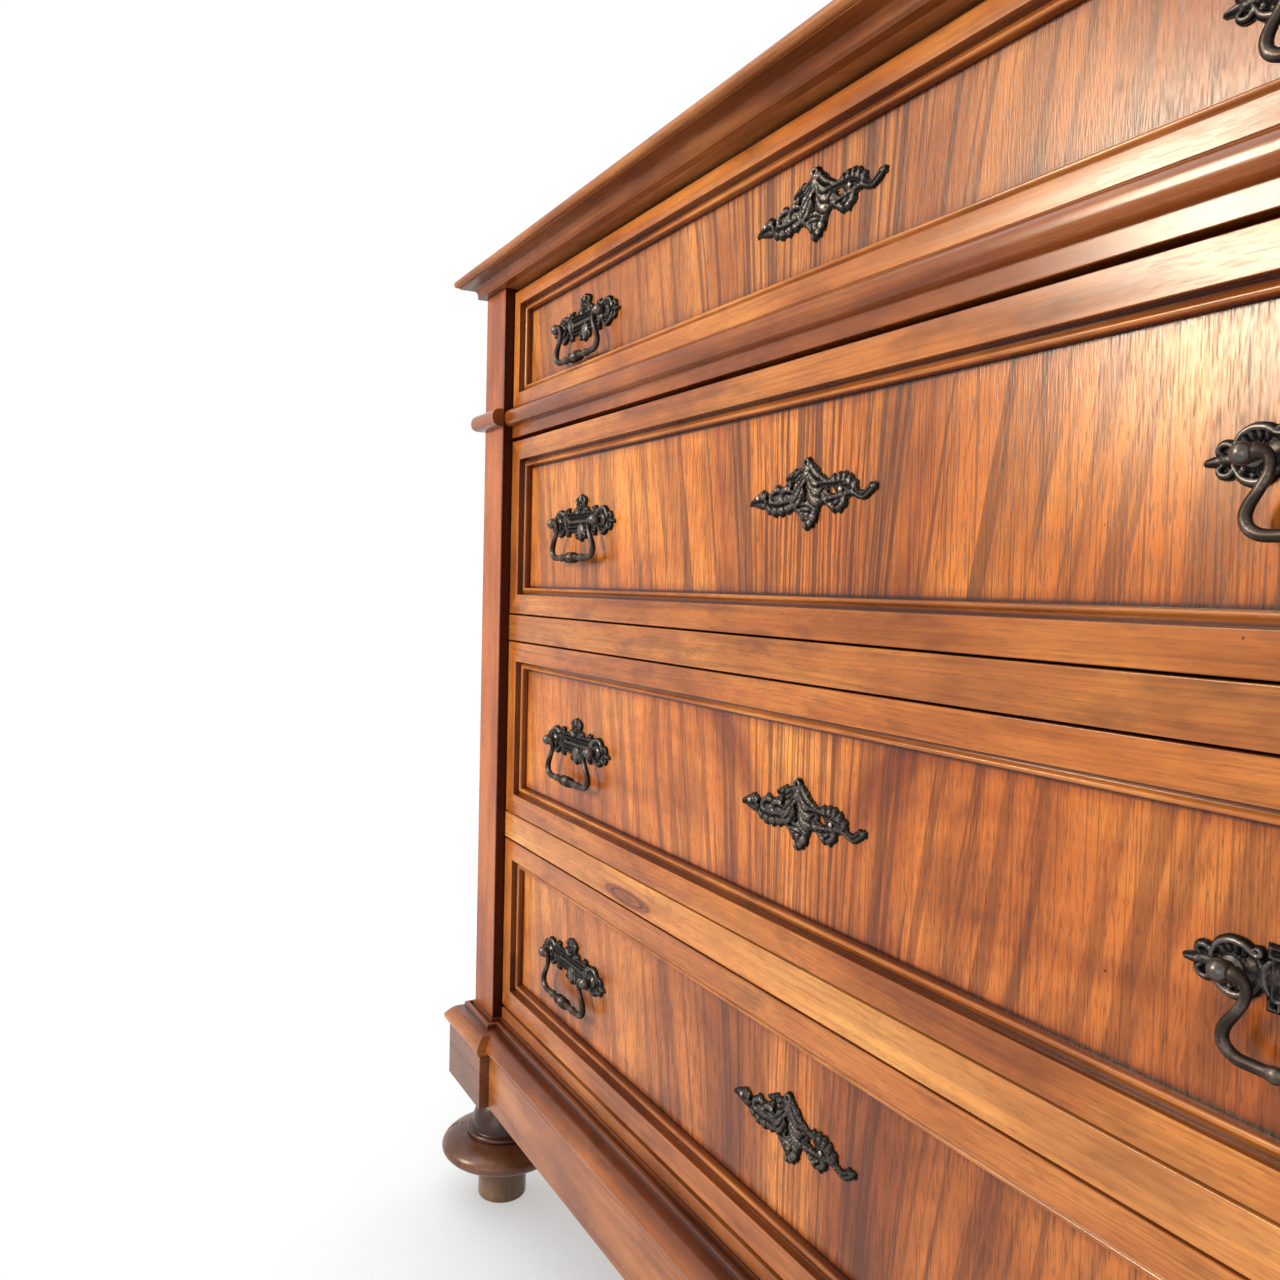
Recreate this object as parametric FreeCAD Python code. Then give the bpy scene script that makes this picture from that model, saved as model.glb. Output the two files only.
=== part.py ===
import FreeCAD, Part
import collections
import math
import os

# A walnut chest of four drawers on turned feet. Millimetres, +Z up, front towards -Y,
# origin on the floor under the middle of the chest.

V = FreeCAD.Vector

# Case, measured over the corner posts
case_width = 1092.0
case_depth = 500.0
post_width = 54.0
post_depth = 50.0
rear_post_depth = 76.0
face_setback = 10.0
frame_thickness = 22.0
panel_thickness = 12.0
panel_setback = 4.0
side_top_rail_height = 70.0
side_low_rail_height = 80.0
back_thickness = 12.0
back_board_count = 5
floor_thickness = 12.0

# Top board, its rounded nose and the cove under it
top_thickness = 22.0
nose_thickness = 8.5
nose_reach = 28.5
cove_low_reach = 8.0
cove_high_reach = 23.5
cove_fillet = 2.0
cove_mid_shares = (0.40, 0.69)

# Plinth, its blocks under the posts and the moulded cap
plinth_height = 55.0
plinth_reach = 21.7
plinth_thickness = 22.0
cap_height = 30.5
cap_lip_reach = 4.9
cap_lip_height = 9.0
cap_ovolo_height = 24.0
cap_ovolo_reach = 13.0
cap_bead_width = 4.2
cap_bead_height = 4.0
cap_groove_width = 2.7
cap_groove_depth = 2.5
lip_mid_shares = (0.62, 0.42)
ovolo_mid_shares = (0.36, 0.52)
glue_block_leg = 30.0

# Turned feet
foot_height = 123.0
peg_radius = 26.0
peg_height = 42.0
peg_round = 2.5
bun_radius = 66.0
bun_half_height = 15.0
ring_radius = 37.5
ring_bulge = 2.0
ring_height = 5.5
neck_radius = 34.0
neck_waist_radius = 24.0
neck_waist_height = 106.0
neck_collar_radius = 33.0
neck_collar_height = 5.0
neck_mid_shares = (0.72, 0.60)
dowel_radius = 12.0
dowel_length = 28.0
dowel_clearance = 0.2

# Rails between the drawers
rail_depth = 40.0
rail_height = 26.5
torus_rail_height = 30.0
torus_radius = 9.0
collar_fillet = 3.0
bottom_rail_show = 10.5
top_rail_height = 14.0
top_rail_depth = 50.0

# Drawer fronts
small_front_height = 119.0
large_front_height = 179.0
close_gap = 1.5
wide_gap = 4.0
top_gap = 4.5
side_gap = 1.5
small_border = 14.0
large_border = 20.0
front_board_thickness = 14.0
frame_relief = 11.0
bead_width = 7.3
bead_crest = 6.8
bead_quirk = 4.4
bead_edge = 5.4
bead_mid_shares = (0.55, 0.25)
bead_crest_share = 0.72

# Drawer boxes and what they run on
box_side_gap = 2.0
box_side_thickness = 12.0
box_roof_gap = 6.0
box_bottom_thickness = 8.0
box_bottom_rise = 10.0
box_back_drop = 6.0
box_rear_gap = 14.0
running_gap = 0.3
runner_width = 74.0
runner_thickness = 18.0
guide_height = 25.0
guide_gap = 1.5
stop_length = 40.0
stop_depth = 12.0
stop_height = 8.0
stop_inset = 290.5

# Handles
handle_inset = 151.5
post_offset = 46.0
plate_thickness = 2.5
plate_tip_reach = 67.5
plate_roundel_radius = 12.5
plate_band_height = 10.0
plate_field_width = 61.0
plate_field_height = 19.0
plate_notch = 3.0
plate_rise = 25.0
plate_drop = 17.0
plate_crest_radius = 8.5
plate_leaf_half_width = 6.0
plate_finial_half_width = 7.5
plate_scroll_width = 3.0
plate_scroll_bend = 1.6
plate_high_scroll_shares = ((0.40, 0.27), (0.40, 0.46), (0.46, 0.46), (0.46, 0.25))
plate_low_scroll_shares = ((0.40, -0.23), (0.40, -0.40), (0.46, -0.40), (0.46, -0.21))
plate_lobe_radius = 3.0
plate_lobe_shares = ((0.13, 0.42), (0.07, -0.46), (0.53, 0.22), (0.53, -0.24), (0.885, 0.12), (0.885, -0.14))
ball_radius = 4.6
ball_stand = 10.5
ball_neck_radius = 2.9
pin_radius = 1.6
pin_clearance = 0.05
pin_length = 6.0
pin_end_gap = 1.0
bail_radius = 3.0
bail_ball_gap = 0.5
bail_neck_reach = 11.5
bail_neck_drop = 8.0
bail_shoulder_inset = 2.0
bail_shoulder_drop = 24.5
bail_heel_inset = 5.5
bail_drop = 33.5
bail_bend = 5.0
bail_swell = 6.5
knop_half_length = 8.0
knop_radius = 4.8
knop_ring_radius = 4.3
knop_ring_half_length = 1.3

# Locks and keyhole plates
keyhole_rise = 8.0
keyhole_radius = 2.8
keyhole_slot_width = 2.6
keyhole_slot_length = 9.5
escutcheon_thickness = 2.2
escutcheon_half_length = 64.0
escutcheon_rise = 18.0
escutcheon_drop = 28.0
escutcheon_shield_half_width = 12.0
escutcheon_scroll_width = 4.6
escutcheon_scroll_bend = 3.5
escutcheon_wing_half_width = 8.0
escutcheon_tip_half_width = 4.0
escutcheon_lobe_radius = 3.8
right_high_scroll_shares = ((0.12, 0.00), (0.34, 0.02), (0.64, 0.02), (0.82, -0.46), (0.91, -0.46),
                            (1.00, -0.20))
right_low_scroll_shares = ((0.12, -0.45), (0.38, -0.58), (0.56, -0.62), (0.72, -0.30))
left_ear_scroll_shares = ((-0.06, 0.44), (-0.33, 0.30), (-0.22, -0.20))
left_wing_shares = ((-0.14, -0.40), (-0.78, -0.48))
left_tip_shares = ((-0.66, -0.45), (-1.00, -0.50))
escutcheon_lobe_shares = ((-0.02, 0.80), (0.06, -1.28), (0.11, -1.10), (0.20, -0.25), (0.56, -0.28),
                          (0.50, -0.66))
lock_half_width = 35.0
lock_depth = 14.0
lock_above_key = 28.0
lock_below_key = 22.0
bolt_half_width = 7.0
bolt_thickness = 5.0
bolt_tail = 5.0
bolt_travel = 9.0
bolt_gap = 0.3
bolt_top_gap = 0.5
mortise_gap = 1.5
mortise_end_gap = 3.0
guide_half_width = 18.0
guide_strap_height = 10.0

# One allowance for every cut that has to run past a face
overrun = 80.0

# Places that follow from the sizes above
case_x = case_width / 2
open_x = case_x - post_width
side_x = case_x - face_setback
side_inner_x = side_x - frame_thickness
foot_x = case_x - post_width / 2
foot_reach = bun_radius - post_depth / 2
overall_depth = case_depth + foot_reach
y_post = foot_reach - overall_depth / 2
y_back = y_post + case_depth
y_face = y_post + face_setback
y_panel = y_face + frame_relief
y_board_back = y_panel + front_board_thickness
y_post_back = y_post + post_depth
y_rear_post = y_back - rear_post_depth
y_inner_back = y_back - back_thickness
y_box_back = y_inner_back - box_rear_gap
y_ball = y_panel - ball_stand
y_top_rail = y_board_back + close_gap
plinth_top = foot_height + plinth_height
cap_top = plinth_top + cap_height
bottom_rail_top = cap_top + bottom_rail_show
front_half_width = open_x - side_gap
box_half_width = open_x - box_side_gap
handle_x = front_half_width - handle_inset
stop_x = front_half_width - stop_inset

Row = collections.namedtuple("Row", "name seat low high roof border")


def drawer_rows():
    """Stack the drawers from the bottom rail up; seat is the rail they run on, roof the wood above."""
    layout = [
        ("drawer_4", large_front_height, wide_gap, close_gap, rail_height, large_border),
        ("drawer_3", large_front_height, close_gap, close_gap, rail_height, large_border),
        ("drawer_2", large_front_height, close_gap, wide_gap, torus_rail_height, large_border),
        ("drawer_1", small_front_height, close_gap, top_gap, top_rail_height, small_border),
    ]
    rows = []
    seat = bottom_rail_top
    for name, front, gap_below, gap_above, rail, border in layout:
        low = seat + gap_below
        high = low + front
        roof = high + gap_above
        rows.append(Row(name, seat, low, high, roof, border))
        seat = roof + rail
    return rows


rows = drawer_rows()
top_underside = rows[-1].roof
rows[-1] = rows[-1]._replace(roof=top_underside - top_rail_height)
height = top_underside + top_thickness
nose_low = height - nose_thickness


def board(x_span, y_span, z_span):
    """Straight board between two values on each axis."""
    low = V(x_span[0], y_span[0], z_span[0])
    return Part.makeBox(x_span[1] - low.x, y_span[1] - low.y, z_span[1] - low.z, low)


def mirrored(solids):
    """The given solids and their copies on the other side of the chest."""
    return solids + [solid.mirror(V(0, 0, 0), V(1, 0, 0)) for solid in solids]


def save(node, solids):
    """Write one node, a single solid or a group of separate ones."""
    shape = solids[0] if len(solids) == 1 else Part.makeCompound(solids)
    shape.exportStep("parts/%s.step" % node)


def outline_face(points, place):
    """Face inside a closed outline; a pair is a straight step, four numbers an arc by mid and end."""
    edges = []
    here = points[0]
    for step in points[1:] + points[:1]:
        end = step[-2:]
        if len(step) == 2:
            edges.append(Part.LineSegment(place(here), place(end)).toShape())
        else:
            edges.append(Part.Arc(place(here), place(step[:2]), place(end)).toShape())
        here = end
    return Part.Face(Part.Wire(edges))


def between(start, end, shares):
    """Point at the given shares of the way from start to end along each axis."""
    return tuple(a + (b - a) * share for a, b, share in zip(start, end, shares))


def half_space(point, normal):
    """Block that covers everything in front of an upright plane through a point."""
    far = case_width + case_depth
    block = Part.makeBox(far, far + far, far + far, V(0, -far, -far))
    block.rotate(V(0, 0, 0), V(0, 0, 1), math.degrees(math.atan2(normal.y, normal.x)))
    block.translate(point)
    return block


def mitred_runs(section, corners, closed=False):
    """Carry a (reach, height) section along a plan line, one mitred strip per side of the line."""
    count = len(corners)
    legs = [(corners[i], corners[(i + 1) % count]) for i in range(count if closed else count - 1)]
    ways = [V(b).sub(a).normalize() for a, b in legs]
    runs = []
    for i, (start, end) in enumerate(legs):
        way = ways[i]
        out = V(way.y, -way.x, 0)
        joined_before = closed or i > 0
        joined_after = closed or i < len(legs) - 1
        origin = start - way * (overrun if joined_before else 0)
        finish = end + way * (overrun if joined_after else 0)
        run = outline_face(section, lambda p: origin + out * p[0] + V(0, 0, p[1]))
        run = run.extrude(finish - origin)
        if joined_before:
            run = run.common(half_space(start, ways[i - 1] + way)).Solids[0]
        if joined_after:
            run = run.cut(half_space(end, way + ways[(i + 1) % len(ways)])).Solids[0]
        runs.append(run)
    return runs


def case_outline():
    """Left half of the case in plan, from the back to the middle of the front, with the posts proud."""
    return [
        V(-case_x, y_back, 0),
        V(-case_x, y_rear_post, 0),
        V(-side_x, y_rear_post, 0),
        V(-side_x, y_post_back, 0),
        V(-case_x, y_post_back, 0),
        V(-case_x, y_post, 0),
        V(-open_x, y_post, 0),
        V(-open_x, y_face, 0),
    ]


def whole_outline():
    """The case in plan, from the back of the left side round the front to the back of the right side."""
    left = case_outline()
    return left + [V(-p.x, p.y, 0) for p in reversed(left)]


def top():
    """Solid top board: a core over the case and a thin rounded nose on the front and both ends."""
    core = board((-case_x, case_x), (y_post, y_back), (top_underside, height))
    round_radius = nose_thickness / 2
    flat = nose_reach - round_radius
    section = [
        (0, nose_low),
        (flat, nose_low),
        (nose_reach, nose_low + round_radius, flat, height),
        (0, height),
    ]
    nose = mitred_runs(section, top_line())
    return core.multiFuse(nose).removeSplitter()


def top_line():
    """Plan line of the top's moulded edges."""
    return [V(-case_x, y_back, 0), V(-case_x, y_post, 0), V(case_x, y_post, 0), V(case_x, y_back, 0)]


def cornice():
    """Cove strips under the nose, mitred at the front corners."""
    foot = (cove_low_reach, top_underside + cove_fillet)
    crown = (cove_high_reach, nose_low)
    section = [
        (0, top_underside),
        (cove_low_reach, top_underside),
        foot,
        between(foot, crown, cove_mid_shares) + crown,
        (0, nose_low),
    ]
    return mitred_runs(section, top_line())


def front_post():
    """Left front post, square, standing on its plinth block."""
    return board((-case_x, -open_x), (y_post, y_post_back), (plinth_top, top_underside))


def collars():
    """Half-round bands round the outside and front of each front post, level with the torus rail."""
    high = rows[-1].seat
    low = high - torus_radius - torus_radius
    middle = high - torus_radius
    section = [
        (0, low),
        (collar_fillet, low),
        (collar_fillet + torus_radius, middle, collar_fillet, high),
        (0, high),
    ]
    line = [V(-case_x, y_post_back, 0), V(-case_x, y_post, 0), V(-open_x, y_post, 0)]
    return mirrored(mitred_runs(section, line))


def side_frames():
    """Rails and panel of the left side, between its front and rear posts."""
    y_span = (y_post_back, y_rear_post)
    x_span = (-side_x, -side_inner_x)
    low_top = plinth_top + side_low_rail_height
    high_low = top_underside - side_top_rail_height
    low_rail = board(x_span, y_span, (plinth_top, low_top))
    high_rail = board(x_span, y_span, (high_low, top_underside))
    panel_x = -side_x + panel_setback
    panel = board((panel_x, panel_x + panel_thickness), y_span, (low_top, high_low))
    return [low_rail, high_rail], panel


def bolt_mortise(row):
    """Pocket in the wood above a drawer that its lock bolt rises into."""
    half = bolt_half_width + mortise_gap
    y_span = (bolt_y()[0] - mortise_gap, bolt_y()[1] + mortise_gap)
    z_end = row.roof + bolt_travel + mortise_end_gap
    return board((-half, half), y_span, (row.roof - overrun, z_end))


def bolt_y():
    """Front and back of the lock bolts."""
    middle = y_board_back + lock_depth / 2
    return middle - bolt_thickness / 2, middle + bolt_thickness / 2


def flat_rail(row, rail):
    """Plain rail over a drawer, with the mortise for that drawer's bolt."""
    rail_board = board((-open_x, open_x), (y_face, y_face + rail_depth), (row.roof, row.roof + rail))
    return rail_board.cut(bolt_mortise(row))


def torus_rail(row):
    """Rail over the second drawer: a flat band below a half-round nose."""
    high = row.roof + torus_rail_height
    low = high - torus_radius - torus_radius
    section = [
        (y_face + rail_depth, row.roof),
        (y_face, row.roof),
        (y_face, low),
        (y_face - torus_radius, high - torus_radius, y_face, high),
        (y_face + rail_depth, high),
    ]
    face = outline_face(section, lambda p: V(-open_x, p[0], p[1]))
    return face.extrude(V(open_x + open_x, 0, 0)).cut(bolt_mortise(row))


def top_rail():
    """Rail under the top, behind the first drawer's front."""
    y_span = (y_top_rail, y_top_rail + top_rail_depth)
    rail = board((-open_x, open_x), y_span, (rows[-1].roof, top_underside))
    return rail.cut(bolt_mortise(rows[-1]))


def bottom_rail():
    """Rail under the lowest drawer, between the posts, standing on the plinth."""
    return board((-open_x, open_x), (y_face, y_face + rail_depth), (plinth_top, bottom_rail_top))


def runners():
    """Left runners that carry the drawer sides, from the rails to the rear posts."""
    x_span = (-side_inner_x, -side_inner_x + runner_width)
    return [board(x_span, (y_face + rail_depth, y_rear_post), (row.seat - runner_thickness, row.seat))
            for row in rows]


def guides():
    """Left guide strips on the runners that keep the drawers straight."""
    x_span = (-side_inner_x, -box_half_width - guide_gap)
    return [board(x_span, (y_post_back, y_rear_post), (row.seat, row.seat + guide_height)) for row in rows]


def stops():
    """Left stop blocks on the rails, behind the drawer fronts."""
    x_span = (-stop_x - stop_length / 2, -stop_x + stop_length / 2)
    y_low = y_board_back + running_gap
    return [board(x_span, (y_low, y_low + stop_depth), (row.seat, row.seat + stop_height)) for row in rows]


def kicker():
    """Left strip under the top that keeps the first drawer from tipping."""
    x_span = (-side_inner_x, -side_inner_x + runner_width)
    y_span = (y_top_rail + top_rail_depth, y_rear_post)
    return board(x_span, y_span, (rows[-1].roof, top_underside))


def back_boards():
    """Upright boards that close the back between the rear posts."""
    width = (open_x + open_x) / back_board_count
    return [board((-open_x + width * i, -open_x + width * (i + 1)), (y_inner_back, y_back),
                  (plinth_top, top_underside)) for i in range(back_board_count)]


def floor_board():
    """Dust board over the plinth, resting on the four blocks and notched round the rear posts."""
    z_span = (plinth_top, plinth_top + floor_thickness)
    blank = board((-side_inner_x, side_inner_x), (y_post_back, y_inner_back), z_span)
    notch = board((-case_x, -open_x), (y_rear_post, y_back), z_span)
    return blank.cut(Part.makeCompound(mirrored([notch])))


def plinth_boards():
    """Plinth boards between the blocks: front, back and both sides."""
    z_span = (foot_height, plinth_top)
    inner_x = open_x - plinth_reach
    y_front = y_face - plinth_reach
    y_span = (y_post_back + plinth_reach, y_rear_post - plinth_reach)
    x_outer = side_x + plinth_reach
    front = board((-inner_x, inner_x), (y_front, y_front + plinth_thickness), z_span)
    back = board((-inner_x, inner_x), (y_back - plinth_thickness, y_back), z_span)
    side = board((-x_outer, -x_outer + plinth_thickness), y_span, z_span)
    return [front, back] + mirrored([side])


def plinth_blocks():
    """Blocks under the four posts, bored for the dowels of the feet."""
    x_span = (-case_x - plinth_reach, -open_x + plinth_reach)
    spans = [(y_post - plinth_reach, y_post_back + plinth_reach), (y_rear_post - plinth_reach, y_back)]
    blocks = []
    for y_span, y_foot in zip(spans, foot_places()):
        bore = Part.makeCylinder(dowel_radius + dowel_clearance, dowel_length + dowel_clearance,
                                 V(-foot_x, y_foot, foot_height))
        blocks.append(board(x_span, y_span, (foot_height, plinth_top)).cut(bore))
    return mirrored(blocks)


def plinth_cap():
    """Moulded cap on the plinth: a lip, a flat ovolo, a bead and a fillet against the case."""
    lip_low = (plinth_reach, plinth_top)
    lip = (plinth_reach + cap_lip_reach, plinth_top + cap_lip_height)
    shoulder = (plinth_reach - cap_ovolo_reach, plinth_top + cap_ovolo_height)
    bead_top = shoulder[1] + cap_bead_height
    bead_inner = shoulder[0] - cap_bead_width
    groove_inner = bead_inner - cap_groove_width
    groove_low = bead_top - cap_groove_depth
    section = [
        (0, plinth_top),
        lip_low,
        between(lip_low, lip, lip_mid_shares) + lip,
        between(lip, shoulder, ovolo_mid_shares) + shoulder,
        (shoulder[0] - cap_bead_width / 2, bead_top, bead_inner, groove_low),
        (groove_inner, groove_low),
        (groove_inner, cap_top),
        (0, cap_top),
    ]
    return mitred_runs(section, whole_outline())


def glue_blocks():
    """Three-cornered blocks glued inside the plinth, beside the front and back boards."""
    x_edge = -open_x + plinth_reach
    places = [(y_face - plinth_reach + plinth_thickness, 1), (y_back - plinth_thickness, -1)]
    blocks = []
    for y_edge, way in places:
        corners = [
            (x_edge, y_edge),
            (x_edge + glue_block_leg, y_edge),
            (x_edge, y_edge + way * glue_block_leg),
        ]
        face = outline_face(corners, lambda p: V(p[0], p[1], foot_height))
        blocks.append(face.extrude(V(0, 0, plinth_height)))
    return mirrored(blocks)


def foot_places():
    """Depth of the front and rear feet; the rear bun is flush with the back of the case."""
    return y_post + post_depth / 2, y_back - bun_radius


def foot(y):
    """Turned foot: peg, flat bun, ring, neck and the dowel that goes up into the plinth block."""
    bun_middle = peg_height + bun_half_height
    bun_depth = bun_radius - peg_radius
    place = lambda p: V(-foot_x + p[0], y, p[1])
    swell = Part.Ellipse(place((bun_radius, bun_middle)), place((peg_radius, bun_middle + bun_half_height)),
                         place((peg_radius, bun_middle)))
    top_angle = math.acos((ring_radius - peg_radius) / bun_depth)
    bun = Part.ArcOfEllipse(swell, -math.pi / 2, top_angle).toShape()
    ring_low = (ring_radius, bun_middle + bun_half_height * math.sin(top_angle))
    ring_high = (ring_radius, ring_low[1] + ring_height)
    neck_low = (neck_radius, ring_high[1])
    waist = (neck_waist_radius, neck_waist_height)
    collar = (neck_collar_radius, foot_height - neck_collar_height)
    arc = lambda a, mid, b: Part.Arc(place(a), place(mid), place(b)).toShape()
    line = lambda *points: Part.makePolygon([place(p) for p in points]).Edges
    heel = peg_radius - peg_round
    heel_mid = (heel + peg_round * math.sin(math.pi / 4), peg_round - peg_round * math.cos(math.pi / 4))
    edges = line((0, 0), (heel, 0))
    edges += [arc((heel, 0), heel_mid, (peg_radius, peg_round))]
    edges += line((peg_radius, peg_round), (peg_radius, peg_height))
    edges += [bun]
    edges += [arc(ring_low, (ring_radius + ring_bulge, ring_low[1] + ring_height / 2), ring_high)]
    edges += line(ring_high, neck_low)
    edges += [arc(neck_low, between(waist, neck_low, neck_mid_shares), waist)]
    edges += line(waist, collar, (neck_collar_radius, foot_height), (dowel_radius, foot_height),
                  (dowel_radius, foot_height + dowel_length), (0, foot_height + dowel_length), (0, 0))
    face = Part.Face(Part.Wire(Part.__sortEdges__(edges)))
    return face.revolve(place((0, 0)), V(0, 0, 1), 360)


def keyhole(row):
    """Cutter for a keyhole: a round eye over a narrow slot, right through the front."""
    z = key_height(row)
    eye = Part.makeCylinder(keyhole_radius, overrun, V(0, y_panel - overrun / 2, z), V(0, 1, 0))
    slot = board((-keyhole_slot_width / 2, keyhole_slot_width / 2),
                 (y_panel - overrun / 2, y_panel + overrun / 2), (z - keyhole_slot_length, z))
    return eye.fuse(slot)


def key_height(row):
    """Height of a drawer's keyhole, a little over the middle of the front."""
    return (row.low + row.high) / 2 + keyhole_rise


def front_board(row):
    """Board behind the frame, whose veneered face is the sunk panel."""
    blank = board((-front_half_width, front_half_width), (y_panel, y_board_back), (row.low, row.high))
    return blank.cut(keyhole(row))


def front_frame(row):
    """Four mitred strips glued on the front board, with a quirk and bead along the inner edge."""
    quirk = (row.border, bead_quirk)
    crest = (row.border + bead_width * bead_crest_share, bead_crest)
    edge = (row.border + bead_width, bead_edge)
    section = [
        (0, 0),
        (0, frame_relief),
        (row.border, frame_relief),
        quirk,
        between(quirk, crest, bead_mid_shares) + crest,
        edge,
        (edge[0], 0),
    ]
    corners = [
        V(-front_half_width, row.low, 0),
        V(-front_half_width, row.high, 0),
        V(front_half_width, row.high, 0),
        V(front_half_width, row.low, 0),
    ]
    strips = mitred_runs(section, corners, closed=True)
    for strip in strips:
        strip.rotate(V(0, 0, 0), V(1, 0, 0), 90)
        strip.translate(V(0, y_panel, 0))
    return strips


def box_boards(row):
    """Drawer box behind the front: two sides, a back and a bottom."""
    low = row.seat + running_gap
    high = min(row.high, row.roof) - box_roof_gap
    inner = box_half_width - box_side_thickness
    bottom_low = low + box_bottom_rise
    bottom_high = bottom_low + box_bottom_thickness
    y_span = (y_board_back, y_box_back)
    side = board((-box_half_width, -inner), y_span, (low, high))
    bottom = board((-inner, inner), y_span, (bottom_low, bottom_high))
    back = board((-inner, inner), (y_box_back - box_side_thickness, y_box_back),
                 (bottom_high, high - box_back_drop))
    return mirrored([side]) + [back, bottom]


def leaf(base, tip, half_width, thickness):
    """Flat leaf on the panel between two points: two arcs that meet at the tips."""
    start = V(base[0], y_panel, base[1])
    end = V(tip[0], y_panel, tip[1])
    middle = (start + end) * 0.5
    across = (end - start).cross(V(0, 1, 0)).normalize() * half_width
    high_edge = Part.Arc(start, middle + across, end).toShape()
    low_edge = Part.Arc(end, middle - across, start).toShape()
    return Part.Face(Part.Wire([high_edge, low_edge])).extrude(V(0, -thickness, 0))


def disc(x, z, radius, thickness):
    """Round plate on the panel."""
    return Part.makeCylinder(radius, thickness, V(x, y_panel, z), V(0, -1, 0))


def scroll(points, width, bend, thickness):
    """Flat curled strip on the panel, straight runs joined by arcs, with a round end at both tips."""
    corners = [V(a, y_panel, b) for a, b in points]
    path = rounded_path(corners, [bend] * (len(corners) - 2))
    start = corners[0]
    across = (corners[1] - start).normalize().cross(V(0, 1, 0)) * (width / 2)
    out = V(0, -thickness, 0)
    ring = [start + across, start - across, start - across + out, start + across + out, start + across]
    strip = path.makePipeShell([Part.makePolygon(ring)], True, False)
    return [strip] + [disc(tip.x, tip.z, width / 2, thickness) for tip in (start, corners[-1])]


def escutcheon(row):
    """Keyhole plate: upright shield, two scrolls to the right, a wing with ear and leaf tip to the left."""
    z = key_height(row)
    thickness = escutcheon_thickness
    place = lambda shares: (shares[0] * escutcheon_half_length, z + shares[1] * escutcheon_rise)
    wing = leaf(place(left_wing_shares[0]), place(left_wing_shares[1]), escutcheon_wing_half_width, thickness)
    tip = leaf(place(left_tip_shares[0]), place(left_tip_shares[1]), escutcheon_tip_half_width, thickness)
    parts = [wing, tip]
    for shares in (right_high_scroll_shares, right_low_scroll_shares, left_ear_scroll_shares):
        points = [place(pair) for pair in shares]
        parts += scroll(points, escutcheon_scroll_width, escutcheon_scroll_bend, thickness)
    for shares in escutcheon_lobe_shares:
        parts.append(disc(*place(shares), escutcheon_lobe_radius, thickness))
    shield = leaf((0, z - escutcheon_drop), (0, z + escutcheon_rise), escutcheon_shield_half_width, thickness)
    return shield.multiFuse(parts).removeSplitter().cut(keyhole(row))


def handle_plate(x, z):
    """Back plate of a handle: notched field with squared scrolls at its corners, roundels for the posts,
    leaf tips, a round crest above and a drop below, with small lobes."""
    half_width = plate_field_width / 2
    half_height = plate_field_height / 2
    notch_x = half_width - plate_notch
    notch_z = half_height - plate_notch
    corners = all_quarters([(half_width, notch_z), (notch_x, notch_z), (notch_x, half_height)])
    field = outline_face(corners, lambda p: V(x + p[0], y_panel, z + p[1]))
    field = field.extrude(V(0, -plate_thickness, 0))
    band_half = plate_band_height / 2
    crest_z = z + plate_rise - plate_crest_radius
    band = board((x - post_offset, x + post_offset), (y_panel - plate_thickness, y_panel),
                 (z - band_half, z + band_half))
    parts = [
        band,
        leaf((x, z), (x, crest_z), plate_finial_half_width, plate_thickness),
        disc(x, crest_z, plate_crest_radius, plate_thickness),
        leaf((x, z), (x, z - plate_drop), plate_finial_half_width, plate_thickness),
    ]
    for way in (-1, 1):
        post_x = x + way * post_offset
        parts.append(disc(post_x, z, plate_roundel_radius, plate_thickness))
        tip = (x + way * plate_tip_reach, z)
        inner = (post_x - way * plate_roundel_radius, z)
        parts.append(leaf(inner, tip, plate_leaf_half_width, plate_thickness))
        place = lambda shares: (x + way * shares[0] * plate_tip_reach, z + shares[1] * plate_rise)
        for shares in (plate_high_scroll_shares, plate_low_scroll_shares):
            points = [place(pair) for pair in shares]
            parts += scroll(points, plate_scroll_width, plate_scroll_bend, plate_thickness)
        parts += [disc(*place(pair), plate_lobe_radius, plate_thickness) for pair in plate_lobe_shares]
    return field.multiFuse(parts).removeSplitter()


def all_quarters(quarter):
    """A whole outline from its upper right quarter, which is mirrored both ways."""
    upper = quarter + [(-a, b) for a, b in reversed(quarter)]
    return upper + [(-a, -b) for a, b in upper]


def handle_posts(x, z):
    """Ball-headed posts of a handle, each bored from its inner side for the bail's pin."""
    posts = []
    for way in (-1, 1):
        centre = V(x + way * post_offset, y_ball, z)
        neck = Part.makeCylinder(ball_neck_radius, ball_stand - plate_thickness,
                                 V(centre.x, y_panel - plate_thickness, z), V(0, -1, 0))
        ball = Part.makeSphere(ball_radius, centre).fuse(neck).removeSplitter()
        bore_start = centre + V(way * (pin_length + pin_end_gap - bail_end()), 0, 0)
        bore = Part.makeCylinder(pin_radius + pin_clearance, overrun, bore_start, V(-way, 0, 0))
        posts.append(ball.cut(bore))
    return posts


def bail_end():
    """Distance from a ball's centre to the end of the bail's round bar."""
    return ball_radius + bail_ball_gap


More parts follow.
